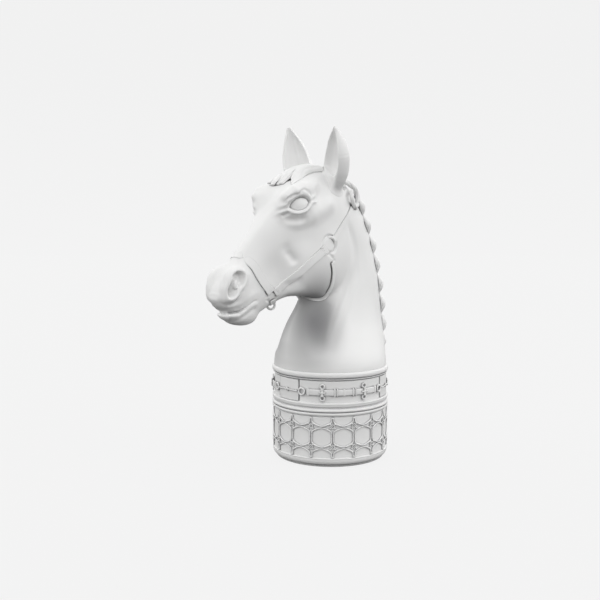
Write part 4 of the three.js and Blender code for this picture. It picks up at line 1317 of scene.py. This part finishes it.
def collar_band(material):
    foot, top, field = COLLAR["foot"], COLLAR["top"], COLLAR["field"]
    low, high = COLLAR["field_low"], COLLAR["field_high"]
    spigot = COLLAR["spigot"]
    profile = [
        (spigot - 5, foot - 12), (spigot - 1, foot - 12), (spigot, foot - 11), (spigot, foot),
        (79.0, foot), (79.8, foot + 0.7), (80.0, foot + 2.0), (79.4, foot + 3.4), (78.2, foot + 4.4),
        (77.3, foot + 4.9), (77.1, foot + 5.9), (78.4, foot + 6.3), (79.3, foot + 7.4), (79.5, foot + 9.2),
        (79.8, foot + 10.4), (79.5, foot + 11.4), (78.2, low - 0.3), (field, low), (field, 90),
        (field, 95), (field, 100), (field, 105), (field, 110), (field, high - 0.2), (field - 1.2, high),
        (field - 1.2, high + 0.9), (78.0, high + 1.1), (78.6, high + 1.8), (78.3, high + 2.5),
        (76.6, high + 2.8), (76.6, high + 3.6), (79.0, high + 3.9), (79.8, high + 5.0), (80.0, high + 7.0),
        (79.7, high + 8.8), (78.6, high + 10.2), (76.8, top), (68.5, top), (68.5, top - 14),
        (spigot - 5, top - 22),
    ]
    even = np.linspace(0, 2 * np.pi, TURN_STEPS, endpoint=False)
    extra = [np.radians(tab + side * TAB_GROOVE + k)
             for tab in TABS for side in (-1, 1) for k in (-0.7, -0.66, -0.26, 0, 0.26, 0.66, 0.7)]
    angles = np.unique(np.round(np.mod(np.concatenate([even, extra]), 2 * np.pi), 5))
    build("collar_band", [lathe(rounded(profile, 0.5), angles, panel_grooves)], "head", material)


def bent(points, azimuth, base):
    """Points (along, height, standing off) in millimetres, wrapped round the drum at an azimuth."""
    points = np.asarray(points, float)
    angle = math.radians(azimuth) + points[..., 0] / base
    radius = base + points[..., 2]
    return np.stack([radius * np.cos(angle), radius * np.sin(angle), points[..., 1]], -1) * MM


def bent_bar(points, azimuth, base, wide, thick=None, around=10, closed_loop=False):
    path = bent(points, azimuth, base)
    normals = path * np.array([1, 1, 0])
    thick = wide if thick is None else thick
    return sweep(path, unit(normals), np.asarray(wide) * MM, np.asarray(thick) * MM, around=around,
                 closed_loop=closed_loop)


def bent_ring(along, height, off, radius, thick, azimuth, base, count=32, around=10):
    turn = np.linspace(0, 2 * np.pi, count, endpoint=False)
    points = np.stack([along + radius * np.cos(turn), height + radius * np.sin(turn),
                       np.full(count, off)], -1)
    return bent_bar(points, azimuth, base, thick, around=around, closed_loop=True)


def bent_ball(along, height, off, size, azimuth, base):
    centre = bent((along, height, off), azimuth, base)
    outward = unit(centre * np.array([1, 1, 0]))
    across = np.array([-outward[1], outward[0], 0.0])
    size = (size, size, size) if np.isscalar(size) else size
    return round_blob(centre, np.array(size) * MM, np.stack([across, np.array([0, 0, 1.0]), outward]), 8, 14)


def bent_slab(start, end, section, azimuth, base, count=40):
    """A section of (height, standing off), swept round the drum."""
    end_round = 0.5
    section = rounded(np.array(section, float) + np.array([1e3, 0]), 0.45, 3) - np.array([1e3, 0])
    middle = section.mean(0)
    along = np.concatenate([[start, start + end_round * 0.3],
                            np.linspace(start + end_round, end - end_round, count),
                            [end - end_round * 0.3, end]])
    shrink = np.ones(len(along))
    shrink[[0, -1]] = 0.0
    shrink[[1, -2]] = 0.6
    inset = np.sign(section - middle) * 0.35
    rings = []
    for x, full in zip(along, shrink):
        outline = section - inset * (1 - full)
        rings.append(np.stack([np.full(len(outline), x), outline[:, 0], outline[:, 1]], -1))
    return skin_of_rings(bent(np.array(rings)[:, ::-1], azimuth, base))


# ---------------------------------------------------------------- the net of bits on the drum

NET_COLUMNS = 17
NET_FIRST = 50.0
NET_ROWS = {"net_lower_row": 27.6, "net_upper_row": 55.4}
NET_MIDDLE = 41.3
NET_FOOT = 13.6
NET_HEAD = 66.6


def cell_side(row, far, reach, across=1.15):
    """Half of a rounded cell outline: up or down one upright, across the row's arm and back.

    far is the height where the uprights end, and reach is how far the arm stands from the row.
    """
    half = math.pi * DRUM["field"] / NET_COLUMNS
    way = 1 if far > row else -1
    level = row + way * across
    shape = ((1.15, 8.6), (1.5, 6.6), (2.5, 4.9), (4.4, 3.5), (7.4, 2.1), (10.6, 0.9))
    points = [(-half + 1.1, far), (-half + 1.1, (far + row) / 2 + way * 2.0)]
    points += [(-half + x, level + way * (z - reach * 0.3)) for x, z in shape]
    points.append((0.0, level))
    return points + [(-x, z) for x, z in points[-2::-1]]


def net_row(name, material):
    row = NET_ROWS[name]
    base = DRUM["field"] + GAP
    upper = NET_HEAD if name == "net_upper_row" else NET_MIDDLE + 0.2
    lower = NET_MIDDLE - 0.2 if name == "net_upper_row" else NET_FOOT
    pitch = 360 / NET_COLUMNS
    parts = []
    for i in range(NET_COLUMNS):
        knot = NET_FIRST + i * pitch
        cell = knot + pitch / 2
        for far, level in ((upper, -0.1), (lower, 2.2)):
            outline = curve_through(cell_side(row, far, 1.0, level), 60)
            path = np.column_stack([outline, np.full(60, 0.62)])
            share = np.linspace(0, 1, 60)
            near_knot = np.exp(-((share - 0.30) / 0.10) ** 2) + np.exp(-((share - 0.70) / 0.10) ** 2)
            parts.append(bent_bar(path, cell, base, 0.78 + 0.42 * near_knot, 0.85 + 0.35 * near_knot,
                                  around=8))
        parts.append(bent_ring(0, row, 1.1, 2.35, 0.72, knot, base, count=24, around=8))
        parts.append(bent_ball(0, row, 0.9, (0.9, 0.9, 0.8), knot, base))
        for x, z in ((1, 1), (1, -1), (-1, -1), (-1, 1)):
            parts.append(bent_ball(x * 3.0, row + z * 3.0, 0.95, (1.15, 1.15, 0.95), knot, base))
        if name == "net_upper_row":
            parts.append(bent_ball(0, upper - 0.6, 0.9, (1.5, 1.3, 1.0), knot, base))
        else:
            parts.append(bent_ball(0, lower + 0.8, 0.9, (1.4, 1.2, 1.0), knot, base))
    build(name, parts, "drum", material)


# ---------------------------------------------------------------- the belt on the collar

BELT_Z = 100.0
BELT_HALF = 4.2
KEEPER_AT = 9.0
CROSS_AT = 21.0
STRAP_END = 36.6
RING_AT = 42.0


def arc_length(degrees):
    return math.radians(degrees) * COLLAR["field"]


def belt_tab(number, azimuth, material):
    """A thin plate over the whole field, between two grooves."""
    low, high = COLLAR["field_low"] + 0.4, COLLAR["field_high"] - 0.4
    half = arc_length(TAB_ANGLE / 2) - 0.2
    section = [(low, GAP), (high, GAP), (high, 0.6), (high - 0.4, 0.8), (low + 0.4, 0.8), (low, 0.6)]
    build(f"belt_tab_{number}", [bent_slab(-half, half, section, azimuth, COLLAR["field"])], "head", material)


def belt_link(number, azimuth, material):
    """A bar link across a tab, with a ring at its middle and a ball near each end."""
    base = COLLAR["field"] + 1.3
    half = arc_length(TAB_ANGLE / 2) - 1.2
    run = np.linspace(-half, half, 60)
    thick = 0.75 + 0.18 * np.cos(run / half * np.pi * 3) ** 2
    path = np.stack([run, BELT_Z + 0.4 * np.cos(run / half * np.pi), np.full(60, 0.85)], -1)
    parts = [bent_bar(path, azimuth, base, thick, around=10)]
    parts.append(bent_ring(0, BELT_Z, 0.9, 1.9, 0.7, azimuth, base, count=22, around=8))
    parts.append(bent_ball(-half * 0.93, BELT_Z, 0.9, (1.4, 1.4, 1.0), azimuth, base))
    parts.append(bent_ball(half * 0.93, BELT_Z, 0.9, (1.4, 1.4, 1.0), azimuth, base))
    build(f"belt_link_{number}", parts, "head", material)


def belt_ring(name, azimuth, material):
    base = COLLAR["field"] + GAP
    ring = bent_ring(0, BELT_Z, 1.9, 4.3, 1.2, azimuth, base, count=44, around=12)
    build(name, [ring], "head", material)


def belt_strap(number, azimuth, material):
    """A strap across a panel with its keepers, its end loops and a fold at the middle."""
    base = COLLAR["field"]
    low, high = BELT_Z - BELT_HALF, BELT_Z + BELT_HALF
    reach = arc_length(STRAP_END)
    section = [(low + 1.2, GAP), (high - 1.2, GAP), (high - 0.4, 1.6), (high - 0.2, 2.4),
               (high - 1.1, 3.1), (low + 1.1, 3.1), (low + 0.2, 2.4), (low + 0.4, 1.6)]
    parts = [bent_slab(-reach, reach, section, azimuth, base, count=90)]
    for side in (-1, 1):
        middle = arc_length(KEEPER_AT) * side
        loop = [(low - 1.2, 0.4), (high + 1.2, 0.4), (high + 1.2, 3.4), (high + 0.5, 4.1),
                (low - 0.5, 4.1), (low - 1.2, 3.4)]
        parts.append(bent_slab(middle - 0.9, middle + 0.9, loop, azimuth, base, count=6))
        parts.append(bent_slab(middle + 2.3, middle + 3.7, loop, azimuth, base, count=6))
        end = (reach - 2.2) * side
        loop = [(low - 0.5, 0.4), (high + 0.5, 0.4), (high + 0.5, 3.0), (high, 3.6), (low, 3.6),
                (low - 0.5, 3.0)]
        parts.append(bent_slab(end - 1.5, end + 1.5, loop, azimuth, base, count=8))
    fold = [(low - 0.4, 1.2), (high + 0.4, 1.2), (high + 0.4, 3.3), (low - 0.4, 3.3)]
    parts.append(bent_slab(-1.4, 1.4, fold, azimuth, base, count=6))
    build(f"belt_strap_{number}", parts, "head", material)


def bit_cross(name, azimuth, material):
    """A bar across the strap that ends in an open loop above and below it."""
    base = COLLAR["field"] + 3.15
    reach = BELT_HALF + 1.0
    parts = []
    run = np.linspace(-reach, reach, 26)
    wide = 1.5 + 0.6 * (run / reach) ** 2
    parts.append(bent_bar(np.stack([np.zeros(26), BELT_Z + run, np.full(26, 0.75)], -1), azimuth, base,
                          wide, 0.8))
    arm = np.linspace(-4.4, 4.4, 26)
    wide = 1.0 + 0.5 * (arm / 4.4) ** 2
    parts.append(bent_bar(np.stack([arm, np.full(26, BELT_Z), np.full(26, 0.7)], -1), azimuth, base, wide,
                          0.7))
    parts.append(bent_ball(0, BELT_Z, 1.0, (1.8, 1.8, 0.8), azimuth, base))
    for side in (-1, 1):
        parts.append(bent_ring(0, BELT_Z + side * (reach + 2.5), -1.2, 2.9, 1.05, azimuth, base))
    build(name, parts, "head", material)


def belt(material):
    for i in range(3):
        number = i + 1
        belt_tab(number, TABS[i], material)
        belt_link(number, TABS[i], material)
        belt_strap(number, PANELS[i], material)
        for letter, side in (("a", -1), ("b", 1)):
            belt_ring(f"belt_ring_{number}{letter}", PANELS[i] + side * RING_AT, material)
            bit_cross(f"bit_cross_{number}{letter}", PANELS[i] + side * CROSS_AT, material)


# ---------------------------------------------------------------- materials

def node_tree(name):
    """A new material with its node tree and its main shader."""
    material = bpy.data.materials.new(name)
    material.use_nodes = True
    tree = material.node_tree
    tree.nodes.clear()
    output = tree.nodes.new("ShaderNodeOutputMaterial")
    shader = tree.nodes.new("ShaderNodeBsdfPrincipled")
    tree.links.new(shader.outputs["BSDF"], output.inputs["Surface"])
    return material, tree, shader


def noise_of(tree, coordinates, scale, detail=3.0, roughness=0.5):
    noise = tree.nodes.new("ShaderNodeTexNoise")
    noise.inputs["Scale"].default_value = scale
    noise.inputs["Detail"].default_value = detail
    noise.inputs["Roughness"].default_value = roughness
    tree.links.new(coordinates, noise.inputs["Vector"])
    return noise.outputs["Fac"]


def map_range(tree, value, from_low, from_high, to_low=0.0, to_high=1.0):
    """A node that stretches a value's range on to another range and stops at both ends."""
    mapped = tree.nodes.new("ShaderNodeMapRange")
    mapped.inputs["From Min"].default_value = from_low
    mapped.inputs["From Max"].default_value = from_high
    mapped.inputs["To Min"].default_value = to_low
    mapped.inputs["To Max"].default_value = to_high
    tree.links.new(value, mapped.inputs["Value"])
    return mapped


def spread(tree, value, low, high):
    """Maps the middle of a noise to a range."""
    return map_range(tree, value, 0.3, 0.7, low, high).outputs["Result"]


def mixed_colour(tree, factor, first, second):
    """A mix of two colours, each a fixed colour or another node's output."""
    mix = tree.nodes.new("ShaderNodeMix")
    mix.data_type = "RGBA"
    for socket, colour in (("A", first), ("B", second)):
        place = [s for s in mix.inputs if s.name == socket and s.type == "RGBA"][0]
        if isinstance(colour, tuple):
            place.default_value = colour
        else:
            tree.links.new(colour, place)
    tree.links.new(factor, mix.inputs[0])
    return [s for s in mix.outputs if s.type == "RGBA"][0]


def hollows(tree, distance, low, high):
    """One in the open and zero deep in a crevice."""
    shade = tree.nodes.new("ShaderNodeAmbientOcclusion")
    shade.samples = 8
    shade.inputs["Distance"].default_value = distance
    return map_range(tree, shade.outputs["AO"], low, high).outputs["Result"]


def bumps(tree, shader, heights):
    """Adds (value, strength, distance) bumps one on top of the other."""
    normal = None
    for value, strength, distance in heights:
        bump = tree.nodes.new("ShaderNodeBump")
        bump.inputs["Strength"].default_value = strength
        bump.inputs["Distance"].default_value = distance
        tree.links.new(value, bump.inputs["Height"])
        if normal is not None:
            tree.links.new(normal, bump.inputs["Normal"])
        normal = bump.outputs["Normal"]
    tree.links.new(normal, shader.inputs["Normal"])


# Middle of the soft shade on the left of the throat, how it is stretched up the neck, and its reach
THROAT = np.array([0.34, -0.65, 2.42]) * R
THROAT_STRETCH = (1, 1, 0.52)
THROAT_REACH = 0.64 * R
THROAT_TONE = (0.21, 0.21, 0.215, 1)


def from_throat(tree, place):
    """Zero on either side of the throat under the jaw, rising smoothly to one in the open."""
    parts = tree.nodes.new("ShaderNodeSeparateXYZ")
    tree.links.new(place, parts.inputs["Vector"])
    side = tree.nodes.new("ShaderNodeMath")
    side.operation = "ABSOLUTE"
    tree.links.new(parts.outputs["X"], side.inputs[0])
    mirrored = tree.nodes.new("ShaderNodeCombineXYZ")
    tree.links.new(side.outputs["Value"], mirrored.inputs["X"])
    tree.links.new(parts.outputs["Y"], mirrored.inputs["Y"])
    tree.links.new(parts.outputs["Z"], mirrored.inputs["Z"])
    stretched = tree.nodes.new("ShaderNodeVectorMath")
    stretched.operation = "MULTIPLY"
    stretched.inputs[1].default_value = THROAT_STRETCH
    tree.links.new(mirrored.outputs["Vector"], stretched.inputs[0])
    gap = tree.nodes.new("ShaderNodeVectorMath")
    gap.operation = "DISTANCE"
    gap.inputs[1].default_value = tuple(THROAT * np.array(THROAT_STRETCH))
    tree.links.new(stretched.outputs["Vector"], gap.inputs[0])
    mapped = map_range(tree, gap.outputs["Value"], 0, THROAT_REACH)
    mapped.interpolation_type = "SMOOTHSTEP"
    return mapped.outputs["Result"]


def ceramic(name, painted_shade_grey, throat=False):
    """Matt white bisque: faint cloudiness, a fine pitted skin and painted shade, a grey painted into the
    hollows where shadow falls.

    The second argument is how dark the shade painted into fine crevices is. throat adds a painted soft shade
    on the throat under the jaw."""
    material, tree, shader = node_tree(name)
    place = tree.nodes.new("ShaderNodeTexCoord").outputs["Object"]
    cloud = spread(tree, noise_of(tree, place, 14.0), 0.0, 1.0)
    white = mixed_colour(tree, cloud, (0.780, 0.780, 0.775, 1), (0.820, 0.820, 0.815, 1))
    # painted shade on both sides of the throat under the jaw, where the head shadows the neck
    if throat:
        white = mixed_colour(tree, from_throat(tree, place), THROAT_TONE, white)
    # painted shade: grey mixed in where fine crevices are hidden from light, darkest deepest in
    painted_shade_mask = hollows(tree, 0.0036, 0.28, 0.84)
    tone = mixed_colour(tree, painted_shade_mask, (painted_shade_grey, painted_shade_grey, painted_shade_grey * 1.03, 1), white)
    tree.links.new(tone, shader.inputs["Base Color"])
    tree.links.new(spread(tree, noise_of(tree, place, 60.0), 0.50, 0.64), shader.inputs["Roughness"])
    shader.inputs["Specular IOR Level"].default_value = 0.35
    grain = noise_of(tree, place, 900.0, 4.0)
    wave = noise_of(tree, place, 55.0, 2.0)
    bumps(tree, shader, [(wave, 0.10, 0.0008), (grain, 0.12, 0.00025)])
    return material


def rubber(name, dark, light):
    """Dull rubber, clouded between two greys."""
    material, tree, shader = node_tree(name)
    place = tree.nodes.new("ShaderNodeTexCoord").outputs["Object"]
    cloud = spread(tree, noise_of(tree, place, 35.0), 0.0, 1.0)
    tree.links.new(mixed_colour(tree, cloud, dark, light), shader.inputs["Base Color"])
    tree.links.new(spread(tree, noise_of(tree, place, 120.0), 0.62, 0.85), shader.inputs["Roughness"])
    bumps(tree, shader, [(noise_of(tree, place, 1400.0, 3.0), 0.25, 0.0002)])
    return material


def cast_iron():
    material, tree, shader = node_tree("ballast_iron")
    place = tree.nodes.new("ShaderNodeTexCoord").outputs["Object"]
    cloud = spread(tree, noise_of(tree, place, 28.0, 5.0), 0.0, 1.0)
    tone = mixed_colour(tree, cloud, (0.045, 0.046, 0.050, 1), (0.11, 0.095, 0.085, 1))
    tree.links.new(tone, shader.inputs["Base Color"])
    shader.inputs["Metallic"].default_value = 0.55
    tree.links.new(spread(tree, noise_of(tree, place, 90.0), 0.55, 0.80), shader.inputs["Roughness"])
    bumps(tree, shader, [(noise_of(tree, place, 420.0, 5.0, 0.65), 0.45, 0.0006)])
    return material


# ---------------------------------------------------------------- camera, floor and light

# The camera: which way round it stands, how far off and how high, its tilts, and its focal length
VIEW_AZIMUTH = 47.35
VIEW_DISTANCE = 15 * R
VIEW_HEIGHT = 4.172 * R
VIEW_PITCH = 5.73
VIEW_YAW = 1.99
VIEW_LENS = 52.62


def camera():
    """Level with the horse's eye and 15 R away, seeing its left side from the front."""
    data = bpy.data.cameras.new("camera")
    thing = bpy.data.objects.new("camera", data)
    bpy.context.scene.collection.objects.link(thing)
    data.sensor_width = 36
    data.lens = VIEW_LENS
    azimuth = math.radians(VIEW_AZIMUTH)
    pitch = math.radians(VIEW_PITCH)
    yaw = math.radians(VIEW_YAW)
    back = Vector((math.sin(azimuth), -math.cos(azimuth), 0))
    across = Vector((math.cos(azimuth), math.sin(azimuth), 0))
    level = -back * math.cos(yaw) - across * math.sin(yaw)
    right = across * math.cos(yaw) - back * math.sin(yaw)
    up = Vector((0, 0, 1))
    forward = level * math.cos(pitch) - up * math.sin(pitch)
    top = up * math.cos(pitch) + level * math.sin(pitch)
    pose = Matrix((right, top, -forward)).transposed().to_4x4()
    pose.translation = back * VIEW_DISTANCE + up * VIEW_HEIGHT
    thing.matrix_world = pose
    data.clip_start = 0.01
    data.clip_end = 60
    bpy.context.scene.camera = thing


# The backdrop's tone in the picture, and how strongly it lights the piece at floor height and up the wall
STUDIO_TONE = 0.935
FLOOR_GLOW = 0.14
WALL_GLOW = 1.62
# Metres of flat floor from the middle, the bend's radius, and the height of the wall
FLOOR_REACH = 6.0
BEND_RADIUS = 2.0
WALL_TOP = 9.0


def stage():
    """A pale floor that curves up into a pale wall all round.

    The camera sees it in one bright tone, and it lights the piece with a glow that grows up the wall."""
    bend = np.linspace(0.1, np.pi / 2, 12)
    wall = FLOOR_REACH + BEND_RADIUS
    reach = np.concatenate([np.linspace(0.0, FLOOR_REACH, 20), FLOOR_REACH + BEND_RADIUS * np.sin(bend),
                            [wall, wall]])
    rise = np.concatenate([np.zeros(20), BEND_RADIUS * (1 - np.cos(bend)), [4.0, WALL_TOP]])
    reach[0] = 0.001
    angle = np.linspace(0, 2 * np.pi, 96, endpoint=False)
    rings = np.stack([reach[:, None] * np.cos(angle), reach[:, None] * np.sin(angle),
                      np.repeat(rise[:, None], 96, 1)], -1)
    vertices, faces = skin_of_rings(rings)
    thing = make_mesh("studio", vertices, faces[:2])
    material, tree, shader = node_tree("studio")
    shader.inputs["Base Color"].default_value = (0.45, 0.45, 0.45, 1)
    shader.inputs["Roughness"].default_value = 0.9
    place = tree.nodes.new("ShaderNodeSeparateXYZ")
    tree.links.new(tree.nodes.new("ShaderNodeTexCoord").outputs["Object"], place.inputs["Vector"])
    height = map_range(tree, place.outputs["Z"], 0.1, 1.5, FLOOR_GLOW, WALL_GLOW)
    soft = tree.nodes.new("ShaderNodeEmission")
    tree.links.new(height.outputs["Result"], soft.inputs["Strength"])
    glow = tree.nodes.new("ShaderNodeEmission")
    glow.inputs["Color"].default_value = (STUDIO_TONE, STUDIO_TONE, STUDIO_TONE, 1)
    seen = tree.nodes.new("ShaderNodeMixShader")
    seen.inputs[0].default_value = 0.90
    tree.links.new(shader.outputs["BSDF"], seen.inputs[1])
    tree.links.new(glow.outputs["Emission"], seen.inputs[2])
    path = tree.nodes.new("ShaderNodeLightPath")
    both = tree.nodes.new("ShaderNodeMixShader")
    tree.links.new(path.outputs["Is Camera Ray"], both.inputs[0])
    tree.links.new(soft.outputs["Emission"], both.inputs[1])
    tree.links.new(seen.outputs["Shader"], both.inputs[2])
    output = [n for n in tree.nodes if n.type == "OUTPUT_MATERIAL"][0]
    tree.links.new(both.outputs["Shader"], output.inputs["Surface"])
    thing.data.materials.append(material)


LIGHT_AIM = (0, 0, 0.24)


def area_light(name, place, size, power):
    light = bpy.data.lights.new(name, "AREA")
    light.size = size
    light.energy = power
    thing = bpy.data.objects.new(name, light)
    bpy.context.scene.collection.objects.link(thing)
    thing.location = place
    thing.rotation_euler = (Vector(LIGHT_AIM) - Vector(place)).to_track_quat("-Z", "Y").to_euler()


def lights():
    """Soft light from above and from both sides, and none from the camera's side."""
    world = bpy.data.worlds.new("studio")
    bpy.context.scene.world = world
    world.use_nodes = True
    background = world.node_tree.nodes["Background"]
    background.inputs["Color"].default_value = (1, 1, 1, 1)
    background.inputs["Strength"].default_value = 0.60
    azimuth = math.radians(VIEW_AZIMUTH)
    back = np.array([math.sin(azimuth), -math.cos(azimuth), 0])
    right = np.array([math.cos(azimuth), math.sin(azimuth), 0])
    up = np.array([0, 0, 1.0])
    area_light("above", tuple(1.7 * up + 0.10 * right - 0.25 * back), 0.9, 0.7)
    area_light("right side", tuple(1.5 * right + 0.10 * back + 0.75 * up), 1.0, 3.4)
    area_light("left side", tuple(-1.5 * right + 0.10 * back + 0.75 * up), 1.0, 1.0)


# ---------------------------------------------------------------- the whole piece

def everything():
    """Makes the materials and all 56 pieces."""
    # One white ceramic in three copies that differ only in painted shade: how dark the crevices are painted,
    # and the painted throat shade on the head
    skin_white = ceramic("white_ceramic_head", 0.12, throat=True)
    trim_white = ceramic("white_ceramic_trim", 0.14)
    drum_white = ceramic("white_ceramic_drum", 0.36)
    pad = rubber("pad_rubber", (0.40, 0.40, 0.40, 1), (0.48, 0.48, 0.475, 1))
    seal = rubber("seal_rubber", (0.55, 0.55, 0.54, 1), (0.62, 0.62, 0.61, 1))
    head, sculpted = neck_and_head()
    settle(head, "head", skin_white, "neck_and_head")
    skin = Skin(*sculpted)
    ears(skin, trim_white)
    eyes(trim_white)
    forelock(skin, trim_white)
    mane(drum_white)
    noseband(skin, trim_white)
    chin_strap(skin, trim_white)
    cheek_strap(skin, trim_white)
    crown_strap(skin, trim_white)
    throat_strap(skin, trim_white)
    halter_rings(skin, trim_white)
    drum_shell(drum_white)
    base_pad(pad)
    ballast_disc(cast_iron())
    seal_ring(seal)
    collar_band(drum_white)
    for name in NET_ROWS:
        net_row(name, drum_white)
    belt(trim_white)


everything()
stage()
lights()
camera()
bpy.context.scene.view_settings.view_transform = "Standard"
